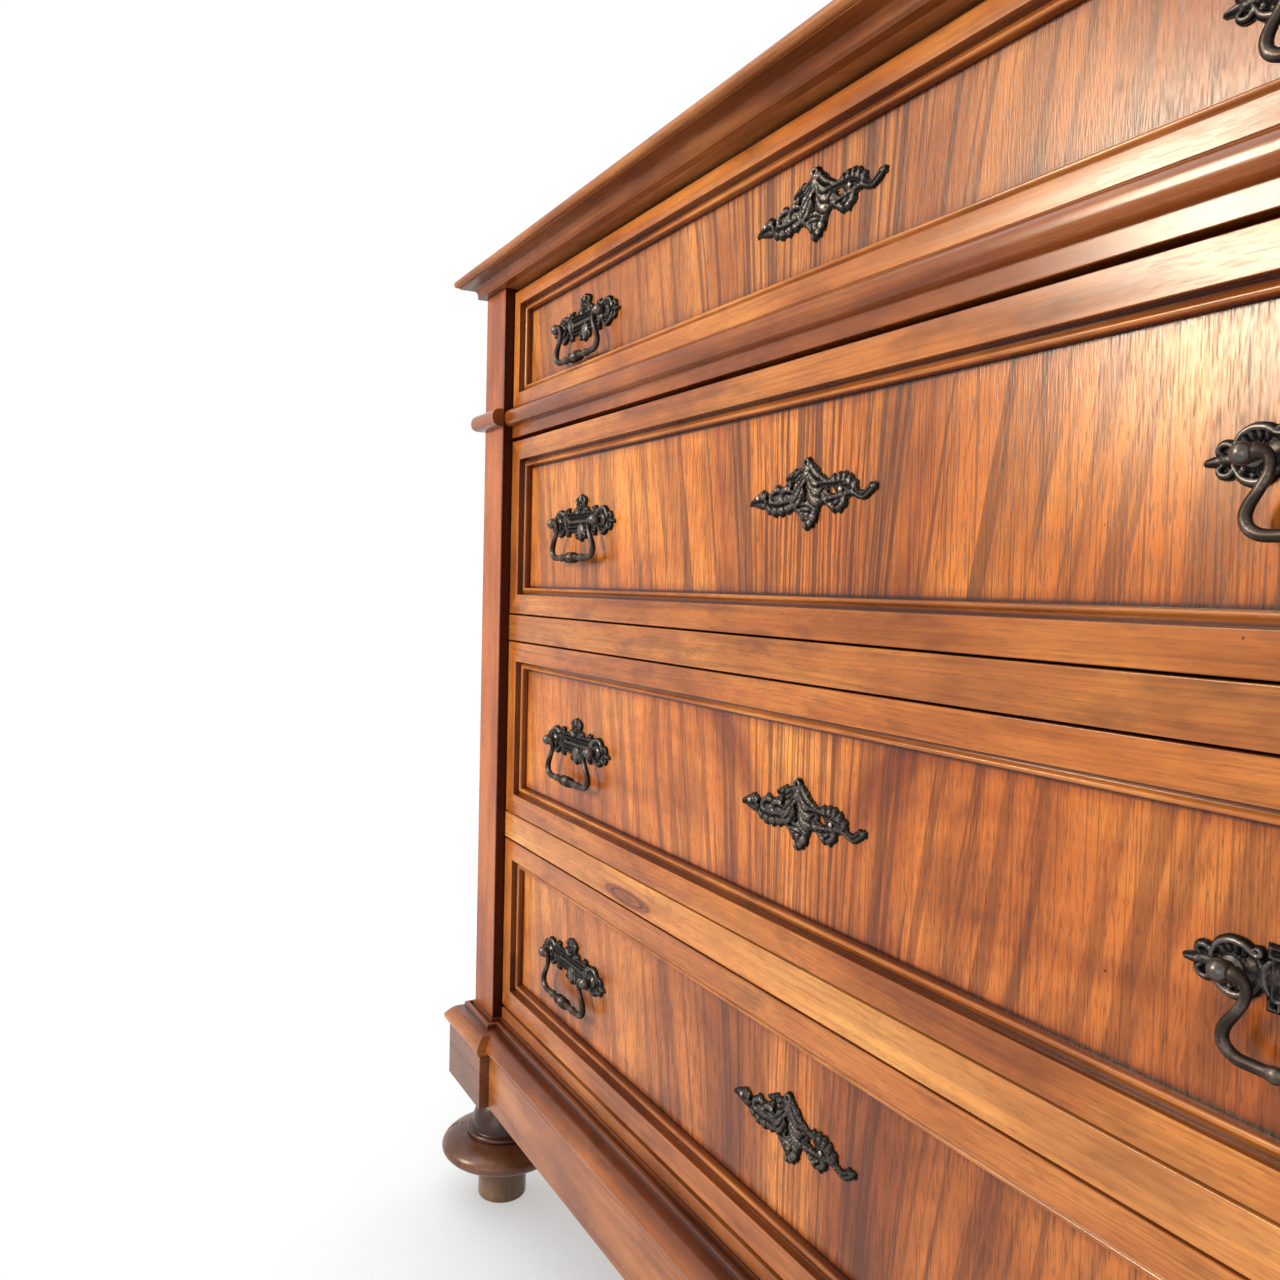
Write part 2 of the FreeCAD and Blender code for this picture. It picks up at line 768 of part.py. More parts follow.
def rounded_path(points, radii):
    """Straight runs joined by tangent arcs of the given radii at the inner points."""
    edges = []
    here = points[0]
    for before, corner, after, radius in zip(points, points[1:], points[2:], radii):
        into = (corner - before).normalize()
        away = (after - corner).normalize()
        turn = into.getAngle(away)
        reach = radius * math.tan(turn / 2)
        start = corner - into * reach
        end = corner + away * reach
        inward = (away - into).normalize()
        middle = corner + inward * (radius / math.cos(turn / 2) - radius)
        edges.append(Part.LineSegment(here, start).toShape())
        edges.append(Part.Arc(start, middle, end).toShape())
        here = end
    edges.append(Part.LineSegment(here, points[-1]).toShape())
    return Part.Wire(edges)


def bail(x, z):
    """Swan-neck bail: pins turned out into the balls, necks, shoulders, and a bar with a ringed knop."""
    half = [
        (post_offset - bail_end(), 0),
        (post_offset - bail_neck_reach, 0),
        (post_offset - bail_neck_reach, -bail_neck_drop),
        (post_offset - bail_shoulder_inset, -bail_shoulder_drop),
        (post_offset - bail_heel_inset, -bail_drop),
    ]
    points = half + [(-a, b) for a, b in reversed(half)]
    corners = [V(x + a, y_ball, z + b) for a, b in points]
    bends = [bail_bend, bail_swell, bail_swell, bail_swell]
    path = rounded_path(corners, bends + bends[::-1])
    circle = Part.Wire(Part.makeCircle(bail_radius, corners[0], V(1, 0, 0)))
    bar = path.makePipeShell([circle], True, False)
    parts = [knop(x, z - bail_drop)]
    for way in (-1, 1):
        start = V(x + way * (post_offset - bail_end() - bail_radius), y_ball, z)
        parts.append(Part.makeCylinder(pin_radius, pin_length + bail_radius, start, V(way, 0, 0)))
    return bar.multiFuse(parts).removeSplitter()


def knop(x, z):
    """Turned swelling at the middle of a bail, between two rings."""
    place = lambda p: V(x + p[0], y_ball, z + p[1])
    inner = knop_half_length - knop_ring_half_length - knop_ring_half_length
    ring_mid = knop_half_length - knop_ring_half_length
    section = [
        (-knop_half_length, 0),
        (-knop_half_length, bail_radius),
        (-ring_mid, knop_ring_radius, -inner, bail_radius),
        (0, knop_radius, inner, bail_radius),
        (ring_mid, knop_ring_radius, knop_half_length, bail_radius),
        (knop_half_length, 0),
    ]
    return outline_face(section, place).revolve(place((0, 0)), V(1, 0, 0), 360)


def bolt_top(row):
    """Top of a bolt that is drawn back, just under the wood above the drawer."""
    return min(row.high, row.roof) - bolt_top_gap


def lock_bolt(row):
    """Flat bar that rises out of the lock into the rail above."""
    z_span = (key_height(row) + bolt_tail, bolt_top(row))
    return board((-bolt_half_width, bolt_half_width), bolt_y(), z_span)


def lock_case(row):
    """Iron lock on the back of the front board: a cased block with the bolt's channel, and a strap."""
    z = key_height(row)
    y_span = (y_board_back, y_board_back + lock_depth)
    case = board((-lock_half_width, lock_half_width), y_span, (z - lock_below_key, z + lock_above_key))
    strap_high = bolt_top(row) - bolt_gap
    strap_span = (strap_high - guide_strap_height, strap_high)
    strap = board((-guide_half_width, guide_half_width), y_span, strap_span)
    half = bolt_half_width + bolt_gap
    channel = board((-half, half), (bolt_y()[0] - bolt_gap, bolt_y()[1] + bolt_gap),
                    (z + bolt_tail - bolt_gap, z + overrun + overrun))
    return [case.cut(channel).cut(keyhole(row)), strap.cut(channel)]


def build_case():
    """Write every node of the standing case."""
    rails, panel = side_frames()
    save("top_board", [top()])
    save("cornice_moulding", cornice())
    left_post = front_post()
    save("front_post_left", [left_post])
    save("front_post_right", [left_post.mirror(V(0, 0, 0), V(1, 0, 0))])
    save("post_collars", collars())
    rear_post = board((-case_x, -open_x), (y_rear_post, y_back), (plinth_top, top_underside))
    save("rear_posts", mirrored([rear_post]))
    save("side_rails", mirrored(rails))
    save("side_panels", mirrored([panel]))
    save("top_rail", [top_rail()])
    save("torus_rail", [torus_rail(rows[2])])
    save("middle_rail", [flat_rail(rows[1], rail_height)])
    save("lower_rail", [flat_rail(rows[0], rail_height)])
    save("bottom_rail", [bottom_rail()])
    save("drawer_runners", mirrored(runners()))
    save("drawer_guides", mirrored(guides()))
    save("drawer_stops", mirrored(stops()))
    save("top_kickers", mirrored([kicker()]))
    save("back_boards", back_boards())
    save("floor_board", [floor_board()])
    save("plinth_boards", plinth_boards())
    save("plinth_blocks", plinth_blocks())
    save("plinth_cap", plinth_cap())
    save("glue_blocks", glue_blocks())
    save("feet", mirrored([foot(y) for y in foot_places()]))


def build_drawer(row):
    """Write every node of one drawer, its lock and its two handles."""
    middle = (row.low + row.high) / 2
    save(row.name + "_front", [front_board(row)])
    save(row.name + "_frame", front_frame(row))
    save(row.name + "_box", box_boards(row))
    save(row.name + "_escutcheon", [escutcheon(row)])
    save(row.name + "_lock", lock_case(row))
    save(row.name + "_bolt", [lock_bolt(row)])
    fittings = []
    for x in (-handle_x, handle_x):
        fittings += [handle_plate(x, middle)] + handle_posts(x, middle)
    save(row.name + "_handle_plates", fittings)
    save(row.name + "_bail_left", [bail(-handle_x, middle)])
    save(row.name + "_bail_right", [bail(handle_x, middle)])


os.makedirs("parts", exist_ok=True)
build_case()
for drawer_row in rows:
    build_drawer(drawer_row)
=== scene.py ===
import math

import bmesh
import bpy
import numpy as np
from mathutils import Matrix, Vector


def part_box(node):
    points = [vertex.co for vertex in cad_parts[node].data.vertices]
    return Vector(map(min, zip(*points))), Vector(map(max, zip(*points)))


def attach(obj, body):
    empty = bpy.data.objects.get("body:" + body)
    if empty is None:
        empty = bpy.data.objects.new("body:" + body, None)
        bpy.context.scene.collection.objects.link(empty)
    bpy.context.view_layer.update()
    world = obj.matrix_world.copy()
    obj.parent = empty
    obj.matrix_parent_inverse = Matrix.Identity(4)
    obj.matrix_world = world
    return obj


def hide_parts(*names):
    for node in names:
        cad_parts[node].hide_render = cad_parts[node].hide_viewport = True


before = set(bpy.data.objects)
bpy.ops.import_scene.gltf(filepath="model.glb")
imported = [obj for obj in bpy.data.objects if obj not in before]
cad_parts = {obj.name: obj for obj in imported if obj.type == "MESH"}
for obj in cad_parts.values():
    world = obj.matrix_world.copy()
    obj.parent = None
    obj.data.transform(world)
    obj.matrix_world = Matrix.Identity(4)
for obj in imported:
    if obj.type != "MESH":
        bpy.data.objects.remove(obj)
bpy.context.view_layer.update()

# Turned feet
# Four walnut feet from the lathe, each a peg, a flat bun, a ring and a neck, glued by a dowel into the block
# above. The polish has gone dark, the pegs are rubbed bare, and the left front bun has dried open in a crack.
mm = 0.001


def span(node):
    """Lowest and highest corner of a CAD piece, in millimetres."""
    return [np.array(corner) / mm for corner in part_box(node)]


def linear(text):
    """sRGB hex value to linear RGBA: each channel by the sRGB curve."""
    c = np.array([int(text[i:i + 2], 16) for i in (1, 3, 5)]) / 255
    return tuple(np.where(c < 0.04045, c / 12.92, ((c + 0.055) / 1.055) ** 2.4)) + (1.0,)


def add(tree, kind, inputs=(), out=0, stops=(), **settings):
    """Add one shader node and give back one of its outputs. inputs are values or sockets in a row, or in a
    table by name or number; stops are the places and colours of a ramp; the rest are settings."""
    node = tree.nodes.new("ShaderNode" + kind)
    for key, value in settings.items():
        setattr(node, key, value)
    for key, value in (inputs if isinstance(inputs, dict) else dict(enumerate(inputs))).items():
        if isinstance(value, bpy.types.NodeSocket):
            tree.links.new(value, node.inputs[key])
        else:
            node.inputs[key].default_value = value
    if stops:
        ramp = node.color_ramp.elements
        ramp[0].position, ramp[1].position = stops[0][0], stops[-1][0]
        for place, tone in stops[1:-1]:
            ramp.new(place)
        for element, (place, tone) in zip(ramp, stops):
            element.color = linear(tone)
    return node.outputs[out] if node.outputs else node


def blank(name):
    """New node material without nodes, and its tree."""
    material = bpy.data.materials.new(name)
    material.use_nodes = True
    material.node_tree.nodes.clear()
    return material, material.node_tree


def walnut(name, tones, run="z", seed=0.0, lines=0.22, streaks=0.28, stains=0.42, joint=None, tides=(),
           figure=0.0, turn=None, marks=None, polish=0.25, gloss=0.4, open_pores=0.12):
    """Walnut, planed and polished with shellac: cloudy tone, fine dark fibre lines, broad streaks and stains,
    short open pores and a few worm holes give the eye a satin, mottled brown. tones are dark, middle, pale
    and the ink of the lines. run is the axis of the grain, turn a second axis and where it holds. joint is
    the height of the middle of a veneered panel: its two leaves are a mirror pair, and with the distance d
    from the joint the pattern goes as ln(1.3 + d / 60 mm), so its lines are dense and upright at the joint,
    and broad and leaning outwards away from it. tides are tones at distances from the joint, figure how
    far the streaks feather. marks gives a factor for worn places and grime, and for painted shade; polish
    is the roughness, gloss the specular level, open_pores the strength of the relief."""
    material, tree = blank(name)
    spot = add(tree, "TexCoord", out="Object")
    x, y, z = [add(tree, "SeparateXYZ", (spot,), axis) for axis in "XYZ"]
    ways = {"x": (z, y, x), "y": (x, z, y), "z": (x, y, z)}
    plain = add(tree, "CombineXYZ", ways[run])
    if turn:
        other = add(tree, "CombineXYZ", ways[turn[0]])
        plain = add(tree, "Mix", {0: turn[1](tree, x, y, z), 4: plain, 5: other}, 1, data_type="VECTOR")
    grain, bend = plain, 24 * mm
    if joint is not None:
        away = add(tree, "Math", (x,), operation="ABSOLUTE")
        above = add(tree, "Math", (z, joint * mm), operation="SUBTRACT")
        lean = add(tree, "MapRange", (away, 0.02, 0.14, 0.0, -0.2))
        leaf = add(tree, "Math", (lean, above, away), operation="MULTIPLY_ADD")
        spread = 60 * mm
        wider = add(tree, "Math", (leaf, 1 / spread, 1.3), operation="MULTIPLY_ADD")
        across = add(tree, "Math", (wider, math.e), operation="LOGARITHM")
        across = add(tree, "Math", (across, spread), operation="MULTIPLY")
        grain, bend = add(tree, "CombineXYZ", (across, y, z)), 5 * mm
    offset = (seed, seed * 0.37, seed * 1.9)
    plain, grain = [add(tree, "VectorMath", (way, offset), operation="ADD") for way in (plain, grain)]
    pattern = {}
    # Cells in millimetres across and along the grain; pores are drawn twice as coarse as they are, to show
    for what, wide, long, detail in (("sway", 60, 420, 2.0), ("fibre", 2.0, 320, 3.0),
                                     ("streak", 9, 420, 4.0), ("cloud", 55, 190, 4.0), ("stain", 24, 70, 3.0),
                                     ("hair", 1.1, 110, 2.0), ("pore", 0.9, 11, 1.0)):
        cells = (1 / (wide * mm), 1 / (wide * mm), 1 / (long * mm))
        place = add(tree, "VectorMath", (plain if what in ("hair", "pore") else grain, cells),
                    operation="MULTIPLY")
        feather = figure if what in ("streak", "stain", "cloud") else 0.0
        noise = {"Vector": place, "Scale": 1.0, "Detail": detail, "Roughness": 0.6, "Distortion": feather}
        pattern[what] = add(tree, "TexNoise", noise)
        if what == "sway":
            shift = add(tree, "Math", (pattern[what], bend), operation="MULTIPLY")
            grain = add(tree, "VectorMath", (grain, add(tree, "CombineXYZ", (shift,))), operation="ADD")
    dark, middle, pale, ink = tones
    colour = add(tree, "ValToRGB", (pattern["cloud"],), stops=((0.36, dark), (0.50, middle), (0.66, pale)))
    if tides:
        wash, end = 50 * mm, tides[-1][0]
        wander = add(tree, "Math", (pattern["streak"], wash, leaf), operation="MULTIPLY_ADD")
        reach = add(tree, "MapRange", (wander, wash / 2, end * mm + wash / 2))
        tide = add(tree, "ValToRGB", (reach,), stops=[(far / end, tone) for far, tone in tides])
        colour = add(tree, "Mix", {0: 1.0, 6: colour, 7: tide}, 2, data_type="RGBA", blend_type="MULTIPLY")
    for what, low, high, strength in (("stain", 0.52, 0.72, stains), ("streak", 0.50, 0.64, streaks),
                                      ("fibre", 0.50, 0.58, lines), ("hair", 0.50, 0.64, lines * 0.75),
                                      ("pore", 0.56, 0.65, 0.15 + lines * 0.5)):
        veil = add(tree, "MapRange", (pattern[what], low, high, 0.0, strength))
        if what == "fibre" and joint is not None:
            dense = add(tree, "MapRange", (away, 0.05, 0.26, 1.0, 0.55))
            veil = add(tree, "Math", (veil, dense), operation="MULTIPLY")
        colour = add(tree, "Mix", {0: veil, 6: colour, 7: linear(ink)}, 2, data_type="RGBA")
    hole = add(tree, "TexVoronoi", {"Vector": spot, "Scale": 1 / (34 * mm)}, "Distance")
    hole = add(tree, "MapRange", (hole, 0.018, 0.026, 0.85, 0.0))
    colour = add(tree, "Mix", {0: hole, 6: colour, 7: linear("#1c0d06")}, 2, data_type="RGBA")
    # The marks factor holds worn places and grime, and for several pieces painted shade and shadow.
    if marks:
        wear_and_shade = marks(tree, x, y, z)
        colour = add(tree, "Mix", {0: 1.0, 6: colour, 7: wear_and_shade}, 2, data_type="RGBA", blend_type="MULTIPLY")
    rough = add(tree, "MapRange", (pattern["pore"], 0.45, 0.70, polish - 0.02, polish + 0.4 * open_pores))
    hollow = add(tree, "Math", (pattern["pore"], -1.6), operation="MULTIPLY")
    relief = add(tree, "Math", (pattern["hair"], 0.35, hollow), operation="MULTIPLY_ADD")
    bump = add(tree, "Bump", {"Strength": open_pores, "Distance": 0.16 * mm, "Height": relief})
    shader = add(tree, "BsdfPrincipled", {"Base Color": colour, "Roughness": rough, "Normal": bump,
                                          "IOR": 1.5, "Specular IOR Level": gloss})
    add(tree, "OutputMaterial", (shader,))
    return material


def lattice(grid, ring=False, caps=False):
    """Skin of a grid with closed rows: each cell between neighbours is a face. The rows follow each other in
    a ring, or caps close the first and the last."""
    n, m = grid.shape[:2]
    index = np.arange(n * m).reshape(n, m)
    rows = np.vstack([index, index[:1]]) if ring else index
    rows = np.hstack([rows, rows[:, :1]])
    cells = np.stack([rows[:-1, :-1], rows[1:, :-1], rows[1:, 1:], rows[:-1, 1:]], -1).reshape(-1, 4)
    return grid.reshape(-1, 3), [cells] + ([index[:1], index[-1:, ::-1]] if caps else [])


def make(name, skins, material, body, slot, *stands_for, sharp=38, relief=None):
    """One finished piece at the origin: skins joined, seams merged, faces outwards, tied to its body."""
    starts = np.cumsum([0] + [len(points) for points, blocks in skins])
    faces = [face for (points, blocks), start in zip(skins, starts) for block in blocks
             for face in (block + start).tolist()]
    mesh = bpy.data.meshes.new(name)
    mesh.from_pydata(np.concatenate([points for points, blocks in skins]).tolist(), [], faces)
    if relief is not None:
        mesh.attributes.new("relief", "FLOAT", "POINT").data.foreach_set("value", relief.astype(np.float32))
    shape = bmesh.new()
    shape.from_mesh(mesh)
    bmesh.ops.remove_doubles(shape, verts=shape.verts, dist=0.002 * mm)
    bmesh.ops.recalc_face_normals(shape, faces=shape.faces)
    shape.to_mesh(mesh)
    shape.free()
    mesh.shade_smooth()
    mesh.set_sharp_from_angle(angle=math.radians(sharp))
    mesh.materials.append(material)
    piece = bpy.data.objects.new(name, mesh)
    bpy.context.collection.objects.link(piece)
    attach(piece, body)
    if stands_for:
        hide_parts(*stands_for)


def turned(outline, centre, turns=96, crack=None):
    """Lathe shape: each (radius, height) of the outline goes round an upright axis. A crack draws the radius
    in by depth * exp(-(angle from its wandering line / width)^2), only within its height span."""
    angle = np.linspace(0, 2 * np.pi, turns, endpoint=False)[None, :]
    radius = np.repeat(outline[:, :1], turns, 1)
    high = np.repeat(outline[:, 1:], turns, 1)
    if crack:
        place, width, depth, low, top = crack
        wander = place + 0.05 * np.sin(high * 0.35) + 0.02 * np.sin(high * 0.9)
        within = np.clip((high - low) / 3, 0, 1) * np.clip((top - high) / 3, 0, 1) * (radius > 30)
        radius = radius - depth * within * np.exp(-((angle - wander) / width) ** 2)
    return np.stack([centre[0] + radius * np.cos(angle), centre[1] + radius * np.sin(angle), high], -1) * mm


def arc(middle, radii, start, end, count):
    """Stretch of an ellipse: middle + radii * (cos a, sin a), a from start to end."""
    a = np.linspace(start, end, count)
    return np.array(middle) + np.array(radii) * np.stack([np.cos(a), np.sin(a)], 1)


def foot_wear_and_shade(tree, x, y, z):
    """Pale, rubbed bare below the bun; darker in the crease under the bun and darkest up the neck under the
    block: painted shade.
    """
    high = add(tree, "MapRange", (z, 0.0, foot_high * mm))
    tones = ((0.0, "#ddd2c8"), (0.06, "#ffffff"), (0.31, "#f0e6de"), (0.36, "#a07f72"), (0.46, "#e8c4b6"),
             (0.58, "#bd988a"), (0.64, "#7d5f55"), (1.0, "#6b4f46"))
    return add(tree, "ValToRGB", (high,), stops=tones)


lo, hi = span("feet")
bun_radius, bun_middle, bun_half = 66.0, 57.0, 15.0
peg_radius, heel_round = 26.0, 2.5
ring_radius, ring_middle, ring_out, ring_half = 37.0, 74.0, 2.4, 2.7
foot_high, dowel_radius, dowel_top = 123, 12, 151
neck_low, neck_high, neck_radius, waist_radius = 77.6, 106.0, 34.0, 24.0
heel = arc((peg_radius - heel_round, heel_round), (heel_round, heel_round), -np.pi / 2, 0, 6)
sweep = np.linspace(-np.pi / 2 + 0.05, 1.28, 40)
bun = np.stack([peg_radius + (bun_radius - peg_radius) * np.cos(sweep) ** 0.93,
                bun_middle + bun_half * np.sin(sweep)], 1)
ring = arc((ring_radius, ring_middle), (ring_out, ring_half), -1.4, 1.4, 10)
sweep = np.linspace(0, 1, 16)
neck = np.stack([waist_radius + (neck_radius - waist_radius) * np.cos(sweep * np.pi / 2) ** 0.8,
                 neck_low + (neck_high - neck_low) * sweep], 1)
crown = [(25, 110), (28, 115), (32.2, 117.6), (33, 118.4), (33, foot_high), (dowel_radius, foot_high),
         (dowel_radius, dowel_top), (0, dowel_top)]
foot_outline = np.concatenate([[(0, 0)], heel, [(peg_radius, 41)], bun, ring, [(34.6, 77)], neck, crown])
foot_x = hi[0] - bun_radius
feet = [(side * foot_x, y) for y in (lo[1] + bun_radius, hi[1] - bun_radius) for side in (-1, 1)]
cracks = [(4.05, 0.022, 6.0, 42, 71), None, None, None]
foot_walnut = walnut("foot_walnut", ("#6b5442", "#806650", "#957a62", "#3c261a"), seed=3.1, marks=foot_wear_and_shade,
                     polish=0.30)
make("turned_feet", [lattice(turned(foot_outline, centre, 360 if crack else 96, crack))
                     for centre, crack in zip(feet, cracks)], foot_walnut, "case", "dark_walnut", "feet")

# Plinth
# Walnut boards between four solid blocks that stand under the posts. The moulded cap lies on both and steps
# out round the blocks: a lip, a flat ovolo, a bead and a fillet against the case, mitred at each corner.


def dress(material, *names, ease=0.7):
    """Give CAD pieces a material and break their sharp edges by ease millimetres, as sandpaper does."""
    for name in names:
        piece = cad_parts[name]
        piece.data.materials.clear()
        piece.data.materials.append(material)
        weld = piece.modifiers.new("weld", "WELD")
        weld.merge_threshold = 0.005 * mm
        flat = piece.modifiers.new("flat", "DECIMATE")
        flat.decimate_type = "DISSOLVE"
        flat.angle_limit = math.radians(0.5)
        edge = piece.modifiers.new("edge", "BEVEL")
        edge.width = ease * mm
        edge.segments = 2
        edge.limit_method = "ANGLE"
        edge.angle_limit = math.radians(40)
        even = piece.modifiers.new("even", "WEIGHTED_NORMAL")
        even.weight = 100


def eased(points, eases, steps=6):
    """Closed outline whose corners are eased: from e before each corner to e after it runs the curve
    (1-s)^2 start + 2s(1-s) corner + s^2 end. eases are one length or a pair (before, after) per corner."""
    p = np.array(points, float)
    e = np.array([ease if isinstance(ease, tuple) else (ease, ease) for ease in eases], float) + 0.01
    back = np.roll(p, 1, 0) - p
    ahead = np.roll(p, -1, 0) - p
    start = p + back / np.linalg.norm(back, axis=1, keepdims=True) * e[:, :1]
    end = p + ahead / np.linalg.norm(ahead, axis=1, keepdims=True) * e[:, 1:]
    s = np.linspace(0, 1, steps)[None, :, None]
    curve = (1 - s) ** 2 * start[:, None] + 2 * s * (1 - s) * p[:, None] + s ** 2 * end[:, None]
    return curve.reshape(-1, 2)


def moulding(profile, corners, closed=False):
    """Grid of a (reach, height) profile carried along a plan line. Reach goes to the right of the way; at a
    corner between sides with normals a and b it goes along (a + b) / (1 + a.b), which is the mitre."""
    line = np.array(corners, float)
    ways = np.diff(np.vstack([line, line[:1]]) if closed else line, axis=0)
    ways /= np.linalg.norm(ways, axis=1, keepdims=True)
    normals = np.stack([ways[:, 1], -ways[:, 0]], 1)
    before = np.roll(normals, 1, 0) if closed else np.vstack([normals[:1], normals])
    after = normals if closed else np.vstack([normals, normals[-1:]])
    mitre = (before + after) / (1 + (before * after).sum(1, keepdims=True))
    plan = line[:, None] + mitre[:, None] * profile[None, :, :1]
    return np.concatenate([plan, np.broadcast_to(profile[None, :, 1:], plan.shape[:2] + (1,))], 2) * mm


(left, front, low), (inner, post_back, top) = span("front_post_left")
rear_front, back = [corner[1] for corner in span("rear_posts")]
side_x, face_y = span("side_rails")[0][0], span("middle_rail")[0][1]
half_line = [(left, back), (left, rear_front), (side_x, rear_front), (side_x, post_back), (left, post_back),
             (left, front), (inner, front), (inner, face_y)]
case_line = half_line + [(-x, y) for x, y in reversed(half_line)]
cap_low, cap_high = span("plinth_cap")[0][2], 30.5
cap_points = [(0, 0), (21.7, 0), (24.4, 3.2), (26.6, 7.2), (26.6, 10.5), (17.8, 21.2), (9.2, 23.2), (8.6, 28),
              (4.6, 28), (4.4, 25.4), (1.9, 25.4), (1.9, cap_high), (0, cap_high)]
cap_eases = [0.2, 0.4, 1.2, 1.2, 1.4, (8, 5.5), 0.3, 2.0, 1.6, 0.3, 0.3, 0.7, 0.1]
cap_profile = eased(cap_points, cap_eases) + (0, cap_low)


def beyond_corner(tree, x, y, z):
    """1 on the strips along the ends of the chest, 0 on the front; the mitre runs out from each corner."""
    off = add(tree, "Math", (x,), operation="ABSOLUTE")
    out_x = add(tree, "Math", (off, -left * mm), operation="SUBTRACT")
    out_y = add(tree, "Math", (front * mm, y), operation="SUBTRACT")
    return add(tree, "Math", (out_x, out_y), operation="GREATER_THAN")


def cap_groove_shade(tree, x, y, z):
    """Painted shade: darker in the grooves of the cap and against the case, lighter on its round."""
    high = add(tree, "MapRange", (z, cap_low * mm, (cap_low + cap_high) * mm))
    tones = ((0.0, "#b09a8e"), (0.15, "#ffffff"), (0.45, "#efe4dc"), (0.70, "#a89084"), (0.78, "#6e574b"),
             (0.86, "#8c7265"), (0.92, "#c8b3a6"), (1.0, "#8a7164"))
    return add(tree, "ValToRGB", (high,), stops=tones)


plinth_tones = ("#854a24", "#a0602f", "#b97a48", "#4c2510")
cap_walnut = walnut("cap_walnut", plinth_tones, "x", 2.9, turn=("y", beyond_corner), marks=cap_groove_shade,
                    polish=0.26)
make("plinth_cap_moulding", [lattice(moulding(cap_profile, case_line), caps=True)],
     cap_walnut, "case", "walnut", "plinth_cap")
dress(walnut("plinth_walnut", plinth_tones, "x", 1.7, turn=("y", beyond_corner)), "plinth_boards", ease=1.0)
dress(walnut("block_walnut", ("#5e341c", "#744326", "#8a5636", "#341a0d"), "x", 1.9,
             turn=("y", beyond_corner)), "plinth_blocks", ease=1.0)

# Posts, sides and collars
# Square walnut posts with the grain upright; the side rails and panels sit a little behind their faces. A
# half-round collar is glued round each front post, level with the rail under the top drawer.
post_tones = ("#8a461c", "#a65a27", "#ba6e37", "#57270e")


def post_inner_shade(tree, x, y, z):
    """Painted shade on the narrow inner faces of the posts, beside the drawers, and a thin dark line of it on
    their fronts beside them.
    """
    off = add(tree, "Math", (x,), operation="ABSOLUTE")
    inward = add(tree, "Math", (off, -inner * mm), operation="SUBTRACT")
    near = add(tree, "MapRange", (inward, 0.0, 5 * mm))
    tones = ((0.0, "#6b4a38"), (0.12, "#8a6a58"), (0.4, "#e6d6ca"), (1.0, "#ffffff"))
    return add(tree, "ValToRGB", (near,), stops=tones)


post_walnut = walnut("post_walnut", post_tones, seed=5.2, stains=0.25, marks=post_inner_shade, gloss=0.2)
dress(post_walnut, "front_post_left", "front_post_right", "rear_posts", ease=0.9)
dress(walnut("side_walnut", post_tones, "y", 6.6), "side_rails")
dress(walnut("panel_walnut", post_tones, seed=7.7, lines=0.4, streaks=0.45), "side_panels")

low, top = [corner[2] for corner in span("post_collars")]
collar_out, flat_out = 12, 3
collar_points = [(0, low), (flat_out, low), (collar_out, low), (collar_out, top), (flat_out, top), (0, top)]
collar_line = [(left, post_back), (left, front), (inner, front)]
collar = moulding(eased(collar_points, [0.1, 0.2, 8.7, 8.7, 0.2, 0.1], 12), collar_line)
torus_tones = ("#6c3512", "#874718", "#9e5b25", "#46200b")
torus_walnut = walnut("torus_walnut", torus_tones, "x", 4.4, stains=0.3, turn=("y", beyond_corner),
                      polish=0.22, open_pores=0.08)
make("collar_bands", [lattice(band, caps=True) for band in (collar, collar * (-1, 1, 1))],
     torus_walnut, "case", "walnut", "post_collars")

# Top board and cornice
# A solid walnut top whose thin rounded nose overhangs the front and both ends. Three cove strips are glued
# under the nose and mitred at the front corners.
low, top = [corner[2] for corner in span("cornice_moulding")]
foot_out, cove_out, lip = 8, 23.5, 1.2
cove_points = [(0, low), (foot_out, low), (foot_out, top - lip), (cove_out, top - lip), (cove_out, top),
               (0, top)]
cove_profile = eased(cove_points, [0.1, 0.3, (9.5, 14.5), 0.3, 0.1, 0.1], 14)
edge_line = [(left, back), (left, front), (-left, front), (-left, back)]
cornice_tones = ("#5e3015", "#77411d", "#8f572b", "#33180a")
cove_walnut = walnut("cove_walnut", cornice_tones, "x", 4.9, turn=("y", beyond_corner), gloss=0.14)
make("cornice_cove", [lattice(moulding(cove_profile, edge_line), caps=True)],
     cove_walnut, "case", "walnut", "cornice_moulding")
top_walnut = walnut("top_walnut", ("#7c4824", "#965c32", "#ad7444", "#4a2611"), "x", 12.6, polish=0.42,
                    gloss=0.25)
dress(top_walnut, "top_board", ease=0.3)

# Rails between the drawers
# Flat walnut rails flush with the drawer fronts; the one under the top drawer has a half-round nose. The
# third is paler wood with a small knot near its left end.
torus_lo, torus_hi = span("torus_rail")
low, top, depth = torus_lo[2], torus_hi[2], face_y - torus_hi[1]
nose_out, nose_high, steps = 9, 18, 12
torus_points = [(depth, low), (0, low), (0, top - nose_high - 0.2), (nose_out, top - nose_high),
                (nose_out, top), (0, top), (depth, top)]
torus_profile = eased(torus_points, [0.2, 0.7, 0.2, 8.4, 8.4, 0.2, 0.2], steps)
